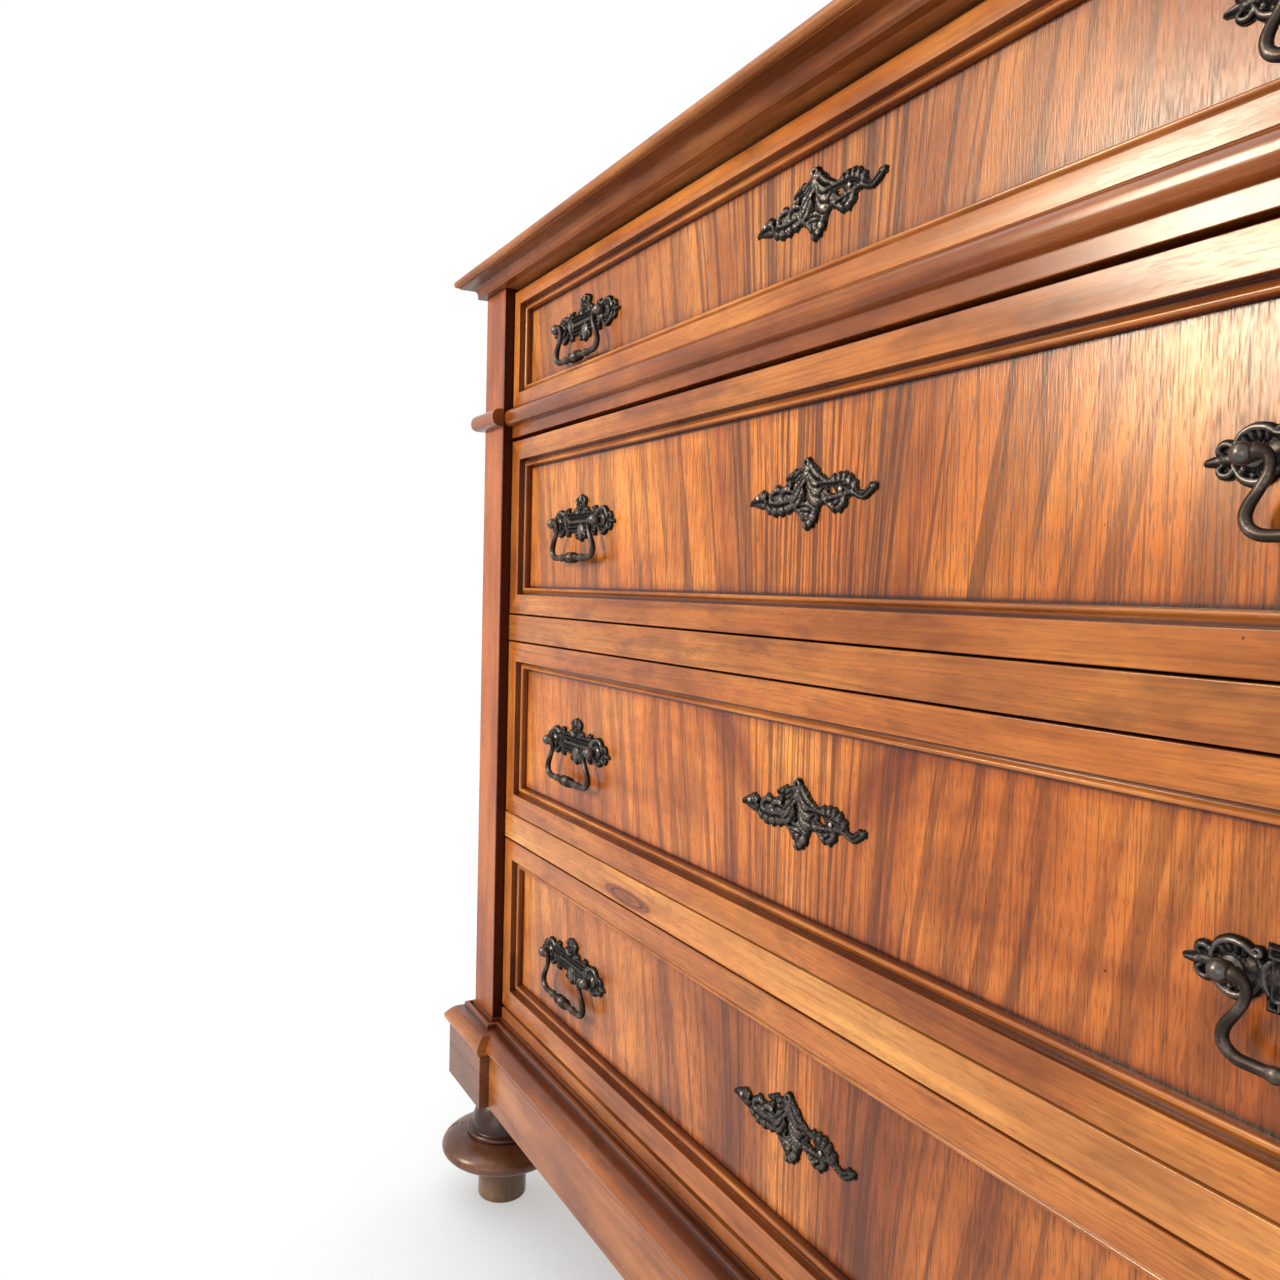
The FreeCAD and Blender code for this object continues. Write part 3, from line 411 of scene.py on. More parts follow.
# Mortise in its underside for the bolt of the second drawer: lips that rise between two pairs of stations
bolt_lo, bolt_hi = span("drawer_2_bolt")
mortise_gap, mortise_top = 1.5, bolt_hi[2] + 12.5
mortise_x = bolt_hi[0] + mortise_gap
mortise_y = [face_y - bolt_hi[1] - mortise_gap, face_y - bolt_lo[1] + mortise_gap]
torus_profile = np.insert(torus_profile, steps, np.repeat([(y, low) for y in mortise_y], 2, 0), 0)
stations = [torus_lo[0], -mortise_x, -mortise_x, mortise_x, mortise_x, torus_hi[0]]
torus_grid = np.stack(np.broadcast_arrays(np.array(stations)[:, None], face_y - torus_profile[:, 0],
                                          torus_profile[:, 1]), -1) * mm
torus_grid[2:4, steps + 1:steps + 3, 2] = mortise_top * mm
make("torus_rail_moulded", [lattice(torus_grid, caps=True)], torus_walnut, "case", "walnut", "torus_rail")
rail_walnut = walnut("rail_walnut", ("#85491f", "#a3602a", "#bb7838", "#4c250d"), "x", 8.4, stains=0.6)
dress(rail_walnut, "middle_rail")
dress(walnut("low_rail_walnut", ("#7a4523", "#92562d", "#a86c3e", "#4a2410"), "x", 9.9), "bottom_rail")
pale_low = span("lower_rail")[0][2]


def knot(tree, x, y, z):
    """Dark knot and its halo: a function of the distance from its middle, long along the rail."""
    along = add(tree, "MapRange", (x, -0.249, -0.181, -1.0, 1.0), clamp=False)
    over = add(tree, "MapRange", (z, (pale_low + 3) * mm, (pale_low + 14) * mm, -1.0, 1.0), clamp=False)
    away = add(tree, "VectorMath", (add(tree, "CombineXYZ", (along, over)),), "Value", operation="LENGTH")
    away = add(tree, "Math", (away, 0.5), operation="MULTIPLY")
    tones = ((0.0, "#b89a84"), (0.30, "#c9ad98"), (0.40, "#6b4a38"), (0.46, "#c2a692"), (0.55, "#9c7c68"),
             (0.62, "#e6d6ca"), (0.85, "#ffffff"))
    return add(tree, "ValToRGB", (away,), stops=tones)


pale_tones = ("#b3713a", "#ca8748", "#dba05a", "#6a3a17")
dress(walnut("pale_walnut", pale_tones, "x", 11.3, marks=knot), "lower_rail")

# Inside of the case
# Runners, guides, stops, kickers, floor and back are plain sawn softwood, nailed and glued, never polished.
# Its grain is drawn as the walnut's is, pale and dull.
softwood_tones = ("#a87f52", "#c29a69", "#d4b184", "#80562f")
sawn = {"lines": 0.3, "streaks": 0.3, "stains": 0.12, "polish": 0.6}
dress(walnut("softwood", softwood_tones, "y", 2.0, **sawn), "drawer_runners", "drawer_guides", "top_kickers")
dress(walnut("upright_softwood", softwood_tones, "z", 9.0, **sawn), "back_boards", "glue_blocks", ease=1.2)
dress(walnut("long_softwood", softwood_tones, "x", 7.0, **sawn), "top_rail", "drawer_stops", "floor_board")

# Drawers
# Each front is a board with a mirror pair of walnut veneers, framed by four mitred strips with a quirk and a
# bead on the inner edge. The box behind is softwood: two sides, a back and a bottom.
borders = {1: 14.0, 2: 20.0, 3: 20.0, 4: 20.0}
bead = 7.3
veneer_tones = {1: ("#a46028", "#c07736", "#d4904a", "#4c230d"),
                2: ("#b86a28", "#da8838", "#eea550", "#4e230a"),
                3: ("#b2682a", "#d6873e", "#e8a152", "#4a1f0b"),
                4: ("#a6632d", "#ca7f3e", "#dd974e", "#45200e")}
# Tones at distances from the joint in millimetres, the same on both leaves
tides = {1: ((0, "#f2e8e0"), (50, "#ffffff"), (110, "#d8c6b8"), (150, "#ffffff"), (320, "#ece0d6"),
             (500, "#ffffff")),
         2: ((0, "#f6ece2"), (45, "#fff6ee"), (78, "#ffffff"), (100, "#b89a86"), (118, "#f4eae0"),
             (180, "#eee0d2"), (300, "#f0e4d8"), (360, "#ffffff"), (500, "#ffffff")),
         3: ((0, "#fff4e6"), (40, "#f2e4d8"), (88, "#c4aa9a"), (112, "#fff2e6"), (190, "#e2cec0"),
             (240, "#f4e8de"), (330, "#ccb2a0"), (400, "#f4e8de"), (500, "#f0e4d8")),
         4: ((0, "#ffeedc"), (22, "#fff6ea"), (48, "#ccb6a8"), (95, "#c0aa9c"), (130, "#fff4e6"),
             (160, "#d2bcae"), (230, "#fff8f0"), (330, "#e0cec2"), (500, "#ffffff"))}
frame_tones = {1: ("#93531f", "#b46c2f", "#cb8741", "#5a2c0f"),
               2: ("#8a4c1c", "#aa652b", "#c27e3c", "#52280d"),
               3: ("#8f4f1e", "#b26a2e", "#ca8540", "#55290b"),
               4: ("#905224", "#b26c34", "#c98645", "#50260e")}


def edge_distances(tree, x, z, lo, hi):
    """Distances in metres from a front's ends and from its long edges."""
    over = add(tree, "Math", (z, (lo[2] + hi[2]) / 2 * mm), operation="SUBTRACT")
    ways = [add(tree, "Math", (way,), operation="ABSOLUTE") for way in (x, over)]
    halves = hi[0], (hi[2] - lo[2]) / 2
    return [add(tree, "Math", (half * mm, way), operation="SUBTRACT") for half, way in zip(halves, ways)]


def frame_wear_and_shade(tree, x, z, lo, hi, border):
    """Across a strip: pale worn arrises, and painted shade at its outer edge, in the quirk and against the
    panel.
    """
    nearest = add(tree, "Math", edge_distances(tree, x, z, lo, hi), operation="MINIMUM")
    wide = border + bead
    over = add(tree, "MapRange", (nearest, 0.0, wide * mm))
    tones = ((0, "#b8a498"), (0.8, "#fbf6f2"), (border - 1.6, "#f4ede6"), (border - 0.5, "#ffffff"),
             (border + 0.1, "#8a6e5c"), (border + 0.9, "#745a4a"), (border + 2.4, "#c8b4a4"),
             (border + 4.6, "#ffffff"), (border + 6.6, "#ffffff"), (wide, "#b49c8c"))
    return add(tree, "ValToRGB", (over,), stops=[(place / wide, tone) for place, tone in tones])


def panel_shadow_and_seam(tree, x, z, lo, hi, border):
    """Painted shadow of the frame on the panel, dark against the bead and fading within a few millimetres,
    less on the edges of the board, and a thin dark line where the leaves meet.
    """
    nearest = add(tree, "Math", edge_distances(tree, x, z, lo, hi), operation="MINIMUM")
    inside = add(tree, "MapRange", (nearest, (border + bead - 8) * mm, (border + bead + 8) * mm))
    tones = ((0.0, "#d8c8bc"), (0.42, "#d8c8bc"), (0.5, "#3e2c20"), (0.58, "#8a7262"), (0.67, "#e2d6cc"),
             (1.0, "#ffffff"))
    frame_shadow = add(tree, "ValToRGB", (inside,), stops=tones)
    away = add(tree, "MapRange", (x, -1.2 * mm, 1.2 * mm))
    tones = ((0.0, "#ffffff"), (0.35, "#f2ebe5"), (0.5, "#9c8273"), (0.65, "#e2d8d0"), (1.0, "#f0e8e2"))
    seam = add(tree, "ValToRGB", (away,), stops=tones)
    return add(tree, "Mix", {0: 1.0, 6: frame_shadow, 7: seam}, 2, data_type="RGBA", blend_type="MULTIPLY")


def on_box_side(tree, x, y, z):
    """1 on the two sides of a drawer box, 0 on its back and bottom."""
    off = add(tree, "Math", (x,), operation="ABSOLUTE")
    return add(tree, "Math", (off, box_inner_half * mm), operation="GREATER_THAN")


box_inner_half = 478
box_softwood = walnut("box_softwood", softwood_tones, "x", 6.1, turn=("y", on_box_side), **sawn)
for number, border in borders.items():
    drawer = "drawer_%d" % number
    lo, hi = span(drawer + "_frame")
    strip_points = [(0, 0), (0, 11), (border, 11), (border, 4.4), (border + 2.6, 4.6), (border + 5.2, 6.9),
                    (border + bead, 5.6), (border + bead, 0)]
    strip_profile = eased(strip_points, [0.1, 0.7, 0.7, 0.4, (1.8, 1.6), (1.4, 0.9), (1.1, 2.6), 0.1])
    corners = [(lo[0], lo[2]), (lo[0], hi[2]), (hi[0], hi[2]), (hi[0], lo[2])]
    strips = moulding(strip_profile, corners, closed=True)
    strips = np.stack([strips[..., 0], hi[1] * mm - strips[..., 2], strips[..., 1]], -1)
    on_stile = lambda tree, x, y, z: add(tree, "Math", edge_distances(tree, x, z, lo, hi),
                                         operation="LESS_THAN")
    strip_wear_and_shade = lambda tree, x, y, z: frame_wear_and_shade(tree, x, z, lo, hi, border)
    strip_walnut = walnut(drawer + "_frame_walnut", frame_tones[number], "x", number * 3.7, stains=0.55,
                          turn=("z", on_stile), marks=strip_wear_and_shade)
    make(drawer + "_frame_strips", [lattice(strips, ring=True)], strip_walnut, drawer,
         "walnut", drawer + "_frame")
    veneer_shadow_and_seam = lambda tree, x, y, z: panel_shadow_and_seam(tree, x, z, lo, hi, border)
    veneer = walnut(drawer + "_veneer", veneer_tones[number], "z", number * 2.3,
                    lines=0.8 if number < 3 else 0.62, streaks=0.4, stains=0.25, open_pores=0.3,
                    figure=0.0 if number < 3 else 1.3, joint=(lo[2] + hi[2]) / 2, tides=tides[number],
                    marks=veneer_shadow_and_seam)
    dress(veneer, drawer + "_front", ease=0.2)
    dress(box_softwood, drawer + "_box")

# Cast metal
# Handle plates and keyhole plates are cast in a dark bronze in the rococo manner, nailed or bolted to the
# fronts. Each is drawn as strokes and beads whose heights are joined by taking the highest.
post_offset = 46.0


def bronze(name, low="#090808", middle="#252120", high="#68625d"):
    """Bronze, cast and blackened with age: almost black in the hollows, rubbed to a grey sheen on the
    heights, with a fine sandy grit from the mould."""
    material, tree = blank(name)
    spot = add(tree, "TexCoord", out="Object")
    grit = add(tree, "TexNoise", {"Vector": spot, "Scale": 1 / (1.6 * mm), "Detail": 3.0, "Roughness": 0.6})
    rise = add(tree, "Attribute", out="Fac", attribute_name="relief")
    rubbed = add(tree, "Math", (grit, 0.35, rise), operation="MULTIPLY_ADD")
    colour = add(tree, "ValToRGB", (rubbed,), stops=((0.25, low), (0.62, middle), (1.0, high)))
    rough = add(tree, "MapRange", (rubbed, 0.2, 1.1, 0.5, 0.28))
    bump = add(tree, "Bump", {"Strength": 0.35, "Distance": 0.2 * mm, "Height": grit})
    shader = add(tree, "BsdfPrincipled", {"Base Color": colour, "Metallic": 0.85, "Roughness": rough,
                                          "Normal": bump})
    add(tree, "OutputMaterial", (shader,))
    return material


def flow(points, count):
    """Smooth line through points: Catmull-Rom, each stretch a cubic of its four nearest points."""
    p = np.array(points, float)
    p = np.vstack([2 * p[0] - p[1], p, 2 * p[-1] - p[-2]])
    t = np.linspace(0, len(points) - 1 - 1e-6, count)
    i = t.astype(int)
    u = (t - i)[:, None]
    a, b, c, d = p[i], p[i + 1], p[i + 2], p[i + 3]
    return b + 0.5 * u * (c - a + u * (2 * a - 5 * b + 4 * c - d + u * (3 * (b - c) + d - a)))


def distances(spot, line):
    """Distance of each spot from each point of a line: the root of dx^2 + dz^2."""
    return np.hypot(spot[0][..., None] - line[:, 0], spot[1][..., None] - line[:, 1])


def stroke(spot, points, radii, base=1.2, rise=1.0, count=64):
    """Rounded bar along a smooth line. Inside is the greatest of r - d over its points; its height is
    base + rise * sqrt(r^2 - d^2). radii run evenly from end to end."""
    r = np.interp(np.linspace(0, 1, count), np.linspace(0, 1, len(radii)), radii)
    d = distances(spot, flow(points, count))
    inside, bulge = (r - d).max(-1), np.sqrt(np.clip(r * r - d * d, 0, None)).max(-1)
    return inside, np.where(inside > 0, base, 0) + rise * bulge


def dome(spot, x, z, r, base=1.2, rise=1.0):
    """Bead: inside is r - d, height base + rise * sqrt(r^2 - d^2) from its middle."""
    d = np.hypot(spot[0] - x, spot[1] - z)
    return r - d, np.where(d < r, base, 0) + rise * np.sqrt(np.clip(r * r - d * d, 0, None))


def casting(draw, box, ragged=0.0, cell=0.5, flange=0.7, thin=0.9, tall=5.0):
    """Skin of a cast plate and its relief: the drawn field, grown by a thin flange with a leafy edge, the
    product of two waves of about 4 mm, on a grid of cells. Points just outside move on to the edge along the
    slope of the field; the front lies at its height, a flat back on the panel, and a wall between them along
    each edge that only one cell has."""
    x, z = np.meshgrid(np.arange(box[0], box[1], cell), np.arange(box[2], box[3], cell), indexing="ij")
    inside, height = draw((x, z))
    leafy = np.sin(1.55 * x + 1.9 * np.sin(z / 2.7)) * np.sin(1.75 * z + 1.7 * np.sin(x / 2.3))
    fine = np.sin(2.9 * x - 1.3 * z) * np.sin(2.6 * z + 0.9 * x)
    height = np.maximum(height + np.where(inside > 0.3, ragged * (0.5 * leafy + 0.4 * fine), 0), thin)
    inside = inside + flange + ragged * leafy
    slope_x, slope_z = np.gradient(inside, cell)
    step = np.where(inside < 0, inside, 0) / np.maximum(slope_x ** 2 + slope_z ** 2, 0.3)
    near = inside > -1.3 * cell
    x, z = x - step * slope_x * near, z - step * slope_z * near
    index = np.arange(x.size).reshape(x.shape)
    quads = np.stack([index[:-1, :-1], index[1:, :-1], index[1:, 1:], index[:-1, 1:]], -1).reshape(-1, 4)
    quads = quads[near.ravel()[quads].all(1) & (inside.ravel()[quads] > 0).any(1)]
    used, quads = np.unique(quads, return_inverse=True)
    quads = quads.reshape(-1, 4)
    edges = np.concatenate([quads[:, [0, 1]], quads[:, [1, 2]], quads[:, [2, 3]], quads[:, [3, 0]]])
    rim = edges[~np.isin(edges[:, 0] * len(used) + edges[:, 1], edges[:, 1] * len(used) + edges[:, 0])]
    wall = np.stack([rim[:, 1], rim[:, 0], rim[:, 0] + len(used), rim[:, 1] + len(used)], 1)
    px, pz, ph = x.ravel()[used], z.ravel()[used], height.ravel()[used]
    points = np.concatenate([np.stack([px, -ph, pz], 1), np.stack([px, 0 * ph, pz], 1)])
    return points, [quads, quads[:, ::-1] + len(used), wall], np.concatenate([ph, 0 * ph]) / tall


def rim(spot, x, z, half_x, half_z, wide, tall):
    """Squared scroll: inside is the distance in from a rectangle, height a ridge along its edge."""
    inside = np.minimum(half_x - np.abs(spot[0] - x), half_z - np.abs(spot[1] - z))
    return inside, np.where(inside > 0, 0.9 + tall * np.exp(-((inside - wide) / wide) ** 2), 0)


def handle_plate(spot):
    """Plate of a handle, the same on both sides of its middle: a framed field with beads, squared scrolls
    at its corners, a ringed shell under a scroll round each post, leaf tips, a domed shell above and a drop
    below. The highest of all shows."""
    half = np.abs(spot[0]), spot[1]
    out = half[0] - post_offset
    d, turn = np.hypot(out, half[1]), np.arctan2(half[1], out)
    ribbed = 0.6 * np.cos(18 * turn) * np.exp(-((d - 7.4) / 1.6) ** 2) + 0.9 * np.exp(-((d - 4.6) / 0.8) ** 2)
    shell_radius, fan_radius, fan_middle = 11.6, 9.2, 15.5
    shell = shell_radius - d, np.where(d < shell_radius, 1.4 + ribbed, 0)
    d = np.hypot(half[0], half[1] - fan_middle)
    fan = fan_radius - d, np.where(d < fan_radius, 1.9 + 0.9 * np.cos(2 * np.pi * (d - 8.0) / 3.5), 0)
    # Bars drawn in millimetres from the middle: points, radii, base and rise; then the beads
    bars = [
        ([(29, 0.4), (34, 0.4), (38, 0.4)], (5.0, 3.4, 5.2), 1.0, 0.35),
        ([(31, 6.5), (33.2, 3), (33.2, -2), (31, -6)], (1.2, 1.5, 1.5, 1.2), 1.8),
        ([(37, 8), (34.8, 4.5), (33.8, 0.4), (34.8, -4), (37, -7.5)], (1.3, 1.2, 1.5, 1.2, 1.3), 1.6),
        ([(55, 2.5), (52.5, 8.2), (47.5, 11), (41.5, 10.6), (37, 7.8), (34.6, 8.2), (35, 10.2), (37, 10.2)],
         (1.2, 1.5, 1.6, 1.6, 1.4, 1.3, 1.1, 0.9), 2.0, 1.2), ([(51.4, 7.2), (49.6, 4.8)], (1.3, 0.8), 1.6),
        ([(48.6, 9.4), (47.4, 6.4)], (1.4, 0.8), 1.6), ([(44.8, 9.8), (44.4, 6.6)], (1.4, 0.8), 1.6),
        ([(41.2, 8.8), (41.6, 6)], (1.3, 0.8), 1.6),
        ([(55, -3.5), (51.5, -8.6), (46, -10.9), (40.5, -9.6), (36.4, -6.2)],
         (1.2, 1.6, 1.8, 1.6, 1.2), 1.7, 1.1),
        ([(54, -0.8), (60, -1.0), (67, -1.6)], (2.2, 2.6, 0.9), 1.0, 0.6),
        ([(54.4, 2.2), (56.6, 5.2), (60, 5.4), (61.8, 3), (60.2, 1.6)], (1.3, 1.4, 1.4, 1.2, 0.9), 1.6, 1.1),
        ([(54.4, -4.4), (56.6, -7.2), (59.8, -7), (61.4, -4.8), (59.8, -3.4)],
         (1.3, 1.4, 1.4, 1.2, 0.9), 1.6, 1.1), ([(61, -1.0), (66.8, -1.6)], (1.3, 0.7), 2.2, 0.9),
        ([(7.5, 8.5), (10.5, 11.5), (13.6, 11.6), (14.2, 9.6)], (1.9, 1.7, 1.4, 1.1), 1.5),
        ([(7.6, 17), (9.4, 19.6), (7.4, 21.6), (5, 22.6)], (1.5, 1.6, 1.4, 1.2), 1.7),
        ([(0, 20), (0, 24)], (2.0, 1.3), 2.2, 0.8),
        ([(0, -8), (0, -12), (0, -16)], (7.4, 5.4, 1.6), 1.1, 0.4),
        ([(0, -9), (0, -16)], (1.5, 0.9), 2.6, 0.9), ([(3.4, -9), (2.4, -14.6)], (1.2, 0.8), 2.2),
        ([(5, -9.5), (9, -10.8), (9.6, -13.6), (7, -13.8)], (1.7, 1.6, 1.4, 1.0), 1.5),
    ]
    beads = [(50.6, -5.4, 1.7, 1.6), (46.6, -8, 1.5, 1.6), (42.4, -7.2, 1.4, 1.6)]
    beads += [(x, 0.4, 2.1, 1.5, 0.8) for x in (0.0, 4.6, 9.2, 13.8, 18.4, 23.0)]
    parts = [rim(half, 0, 0.4, 30.6, 9.2, 1.1, 1.9), rim(half, 0, 0.4, 27.2, 5.6, 0.9, 1.7), shell, fan,
             rim(half, 28.4, 10.9, 3.3, 2.9, 1.0, 2.2), rim(half, 28.4, -9.9, 3.1, 2.6, 1.0, 2.2)]
    parts += [stroke(half, *bar) for bar in bars] + [dome(half, *bead) for bead in beads]
    inside, height = np.max(parts, 0)
    # Spots sunk to the floor of the casting, which the relief tone turns black: painted shade for its deep
    # holes
    shade_pits = np.hypot(spot[0], spot[1] - 10.4) < 2.9
    for z in (3.1, -5.1):
        shade_pits |= np.hypot(half[0] - 58.6, half[1] - z) < 1.0
    return inside, np.where(shade_pits, 0.9, height)


def cut(spot, points, deep=1.5, wide=0.75):
    """Groove along a smooth line: depth falls off as deep * exp(-(distance / wide)^2)."""
    return deep * np.exp(-(distances(spot, flow(points, 48)).min(-1) / wide) ** 2)


def key_plate(spot):
    """Keyhole plate, different left and right: two broad leaves round the eye under a ringed finial, an ear,
    a wing of curls and a leaf tip to the left, two scrolls round a window to the right, a drop with balls
    below. Veins and the gaps between leaves are cut into them afterwards."""
    x, z = spot
    d = np.hypot(x, z)
    # Bars drawn in millimetres from the middle: points, radii, base and rise; then the beads
    bars = [
        ([(-1, 13), (-4, 6), (-8, -2), (-8.5, -9), (-3, -16)], (3.6, 5.2, 6.2, 5.4, 3.0), 1.4, 0.36),
        ([(1.5, 14), (4.5, 6), (7, -1), (8.5, -8), (6.5, -16)], (3.4, 4.8, 6.2, 6.4, 4.4), 1.4, 0.36),
        ([(0, 9), (0.6, 13), (0.4, 15.4)], (4.4, 3.6, 3.0), 1.6, 0.5),
        ([(2.4, 13.6), (2.5, 16.6), (-0.2, 17.6), (-2.4, 15.8), (-1.4, 13.4)], (1.2, 1.2, 1.2), 2.4, 0.9),
        ([(4, 13.6), (8, 9), (13, 5.4), (19, 2.6)], (2.2, 2.6, 2.4, 1.8), 1.5, 0.6),
        ([(-4, 11), (-9, 9.2), (-15.5, 8.8), (-22, 6.6)], (2.4, 2.6, 2.3, 0.8), 1.4, 0.6),
        ([(-16.4, 7.4), (-17.4, 2), (-15, -5), (-12, -11)], (1.8, 2.2, 2.4, 2.4), 1.4, 0.6),
        ([(-7, 8), (-9.6, 3), (-10.4, -4)], (1.6, 1.8, 1.8), 2.2, 0.7),
        ([(-15, -6), (-24, -6.4), (-33, -7), (-40, -8)], (6.0, 6.8, 6.6, 4.6), 1.2, 0.26),
        ([(-16, -1), (-21, 0), (-26, -1.6), (-28, -5.4), (-25, -7.8), (-22.4, -6)],
         (2.0, 2.1, 2.0, 1.8, 1.5, 1.1), 1.9, 0.8),
        ([(-26, -0.6), (-32, 0.2), (-37.4, -2.4), (-38.4, -6.6), (-35, -8.4), (-33, -6.2)],
         (1.6, 1.9, 1.9, 1.7, 1.4, 1.0), 1.9, 0.8),
        ([(-12.5, -11), (-20, -12.4), (-30, -13.4), (-39, -12.6), (-44, -9)],
         (2.2, 2.6, 2.9, 2.5, 1.8), 1.5, 0.6),
        ([(-40, -8.4), (-45, -4.6), (-50, -3.8), (-56, -5.4), (-63, -7.4)],
         (2.6, 3.4, 3.6, 2.6, 0.9), 1.3, 0.5),
        ([(-43, -10), (-50, -8.8), (-57, -7.6)], (1.9, 2.0, 1.4), 1.3, 0.6),
        ([(8, -6), (16, -6), (22, -7.4)], (7.4, 5.6, 3.0), 1.2, 0.26),
        ([(13, 2.4), (20, 1.6), (27, 2.2), (34, 2.2), (41, 0.8), (47, -3)],
         (2.0, 2.0, 2.5, 3.0, 3.0, 2.4), 1.4, 0.6),
        ([(40, -6.2), (46, -5.6), (51.5, -7.6), (56, -8.2), (60, -6), (65, -3.4)],
         (1.8, 2.2, 2.2, 2.4, 2.6, 1.9), 1.5, 0.6),
        ([(29, -1.6), (34, -3.8), (41, -5.6)], (2.0, 3.0, 2.4), 1.2, 0.4),
        ([(15, -9), (21, -8.8), (27, -8), (33, -7.4), (40, -6.4)], (2.2, 1.9, 1.7, 1.7, 1.5), 1.6, 0.7),
        ([(20, -9.4), (25, -12.4), (31, -14), (36.6, -12), (38, -8.6)], (1.9, 2.4, 2.7, 2.5, 1.7), 1.5, 0.7),
        ([(0, -14), (1, -19), (0.6, -25)], (6.4, 4.4, 2.2), 1.4, 0.36),
        ([(-10.5, -12.4), (-6, -15.6), (-3, -20)], (2.2, 2.3, 1.6), 1.6, 0.6),
    ]
    beads = [(31, -11, 3.2, 1.6, 0.6), (36, -10.6, 2.2, 1.6, 0.7), (0.4, -25, 2.4, 1.7, 0.8),
             (7.4, -19.4, 3.6, 1.5, 0.7), (4.2, -23, 3.0, 1.6, 0.7)]
    lobes = [
        (27, 4.2, 2.0), (32, 5.0, 2.2), (37.4, 4.8, 2.2), (42.6, 3.0, 2.1), (47.4, -0.4, 1.9),
        (27.4, -15.4, 2.0), (33.4, -15.6, 2.0), (-19, -14.0, 2.0), (-26.4, -15.2, 2.2), (-34.6, -15.2, 2.2),
        (-41.4, -12.8, 2.0), (-21.6, 1.4, 1.8), (-32.6, 1.6, 1.9), (-49.4, -0.9, 1.6), (-13, 11.0, 1.7),
        (9.4, 10.0, 1.7), (61.4, -3.2, 1.6),
    ]
    beads += [lobe + (1.3, 0.6) for lobe in lobes]
    parts = [stroke(spot, *bar) for bar in bars] + [dome(spot, *bead) for bead in beads]
    inside, height = np.max(parts, 0)
    ring = 1.4 * np.exp(-((d - 4.8) / 0.7) ** 2)
    height = np.where(inside > 0, np.maximum(height, 1.2 + ring), 0)
    veins = [
        [(-1, 11), (-7.4, 5), (-13, 3)], [(-3, 6), (-7, 1), (-12.6, -4)],
        [(-4.6, 0), (-7.6, -6), (-12, -9.6)], [(-4, -7), (-6, -11), (-9, -13)],
        [(-4.6, 10.4), (-12, 6), (-20, 6.8)], [(4, 10), (9, 5.4), (15, 3.4)], [(4, 4), (8, 0), (13.6, -0.6)],
        [(5, -2), (9, -6), (14.6, -7)], [(3.6, -8.4), (7, -12), (11, -13.4)],
        [(-8, -12.6), (0, -12.2), (7, -14.6)], [(-4, -15.4), (1.6, -15.8), (6, -16.4)],
        [(-1.6, -17), (-0.6, -22.4)], [(-13, 9.4), (-14, 6.6)],
        [(-15.4, -3.4), (-21, -2.6), (-24.6, -4.6), (-23.6, -6.4)], [(-18, -9.4), (-29, -10.6), (-40, -9.6)],
        [(-22.6, -15.4), (-23.4, -10)], [(-30.6, -16.6), (-30.4, -11)], [(-38, -15.2), (-36.6, -10)],
        [(-26.6, 1), (-27, -3)], [(-29, -2.2), (-34.4, -3), (-36, -5.6), (-34, -6.6)],
        [(-41, -6.4), (-43.4, -9.6)], [(-47, -6.2), (-55, -6.6), (-61, -7.3)],
        [(16, 0.4), (27, 0), (36, 0.4), (44, -3.6)], [(29.6, 5.4), (30.2, 1.4)], [(35, 5.8), (35.2, 1.4)],
        [(40.2, 4.8), (39.6, 1)], [(45.4, 2), (44, -1.6)], [(22, -10.4), (27.4, -10), (33, -9.2)],
        [(27.6, -12.4), (31.4, -13.4), (34.4, -11.2)], [(30.4, -17), (30, -14)],
        [(17.6, -2), (14.6, -6), (17, -11)], [(48, -5.4), (55, -8.4), (62, -4.6)], [(4.6, -17), (4, -20.4)],
        [(2, -22), (2.2, -26)],
    ]
    for vein in veins:
        height = height - cut(spot, vein)
    # Spots sunk to the floor of the casting, which the relief tone turns black: painted shade for its deep
    # holes
    shade_pits = np.hypot(x - 0.2, z - 15.6) < 1.3
    shade_pits |= np.maximum(np.abs(x + 13.6) / 0.8, np.abs(z - 2.4)) < 3.0
    shade_pits |= np.maximum(np.abs(x + 41.6), np.abs(z + 3.6) / 1.1) < 2.2
    eye_radius, slot_half, slot_drop, window_half = 3.6, 2.1, 10.6, 1.9
    eye = np.maximum(eye_radius - d, np.minimum(slot_half - np.abs(x), np.minimum(-z, z + slot_drop)))
    window = window_half - np.hypot((x - 23.6) / 2.2, z + 3.6)
    return np.minimum(inside, -np.maximum(eye, window)), np.where(shade_pits, 0.9, height)


def turned_out(outline, centre, turns):
    """Lathe shape on an axis out of the front: each (radius, out) of the outline goes round it."""
    outline = np.array(outline, float)
    angle = np.linspace(0, 2 * np.pi, turns, endpoint=False) + np.pi / 4
    across, out = outline[:, :1], np.repeat(outline[:, 1:], turns, 1)
    return np.stack([centre[0] + across * np.cos(angle), centre[1] - out,
                     centre[2] + across * np.sin(angle)], -1) * mm


def tube(line, radii, around=20):
    """Round bar along a line in the plane of the front: points at r cos a across it and r sin a out of it."""
    ahead = np.gradient(line, axis=0)
    ahead /= np.linalg.norm(ahead, axis=1, keepdims=True)
    side = np.stack([ahead[:, 1], -ahead[:, 0]], 1)
    a = np.linspace(0, 2 * np.pi, around, endpoint=False)
    flat = line[:, None] + side[:, None] * (radii[:, None] * np.cos(a))[..., None]
    return np.stack([flat[..., 0], radii[:, None] * np.sin(a), flat[..., 1]], -1)


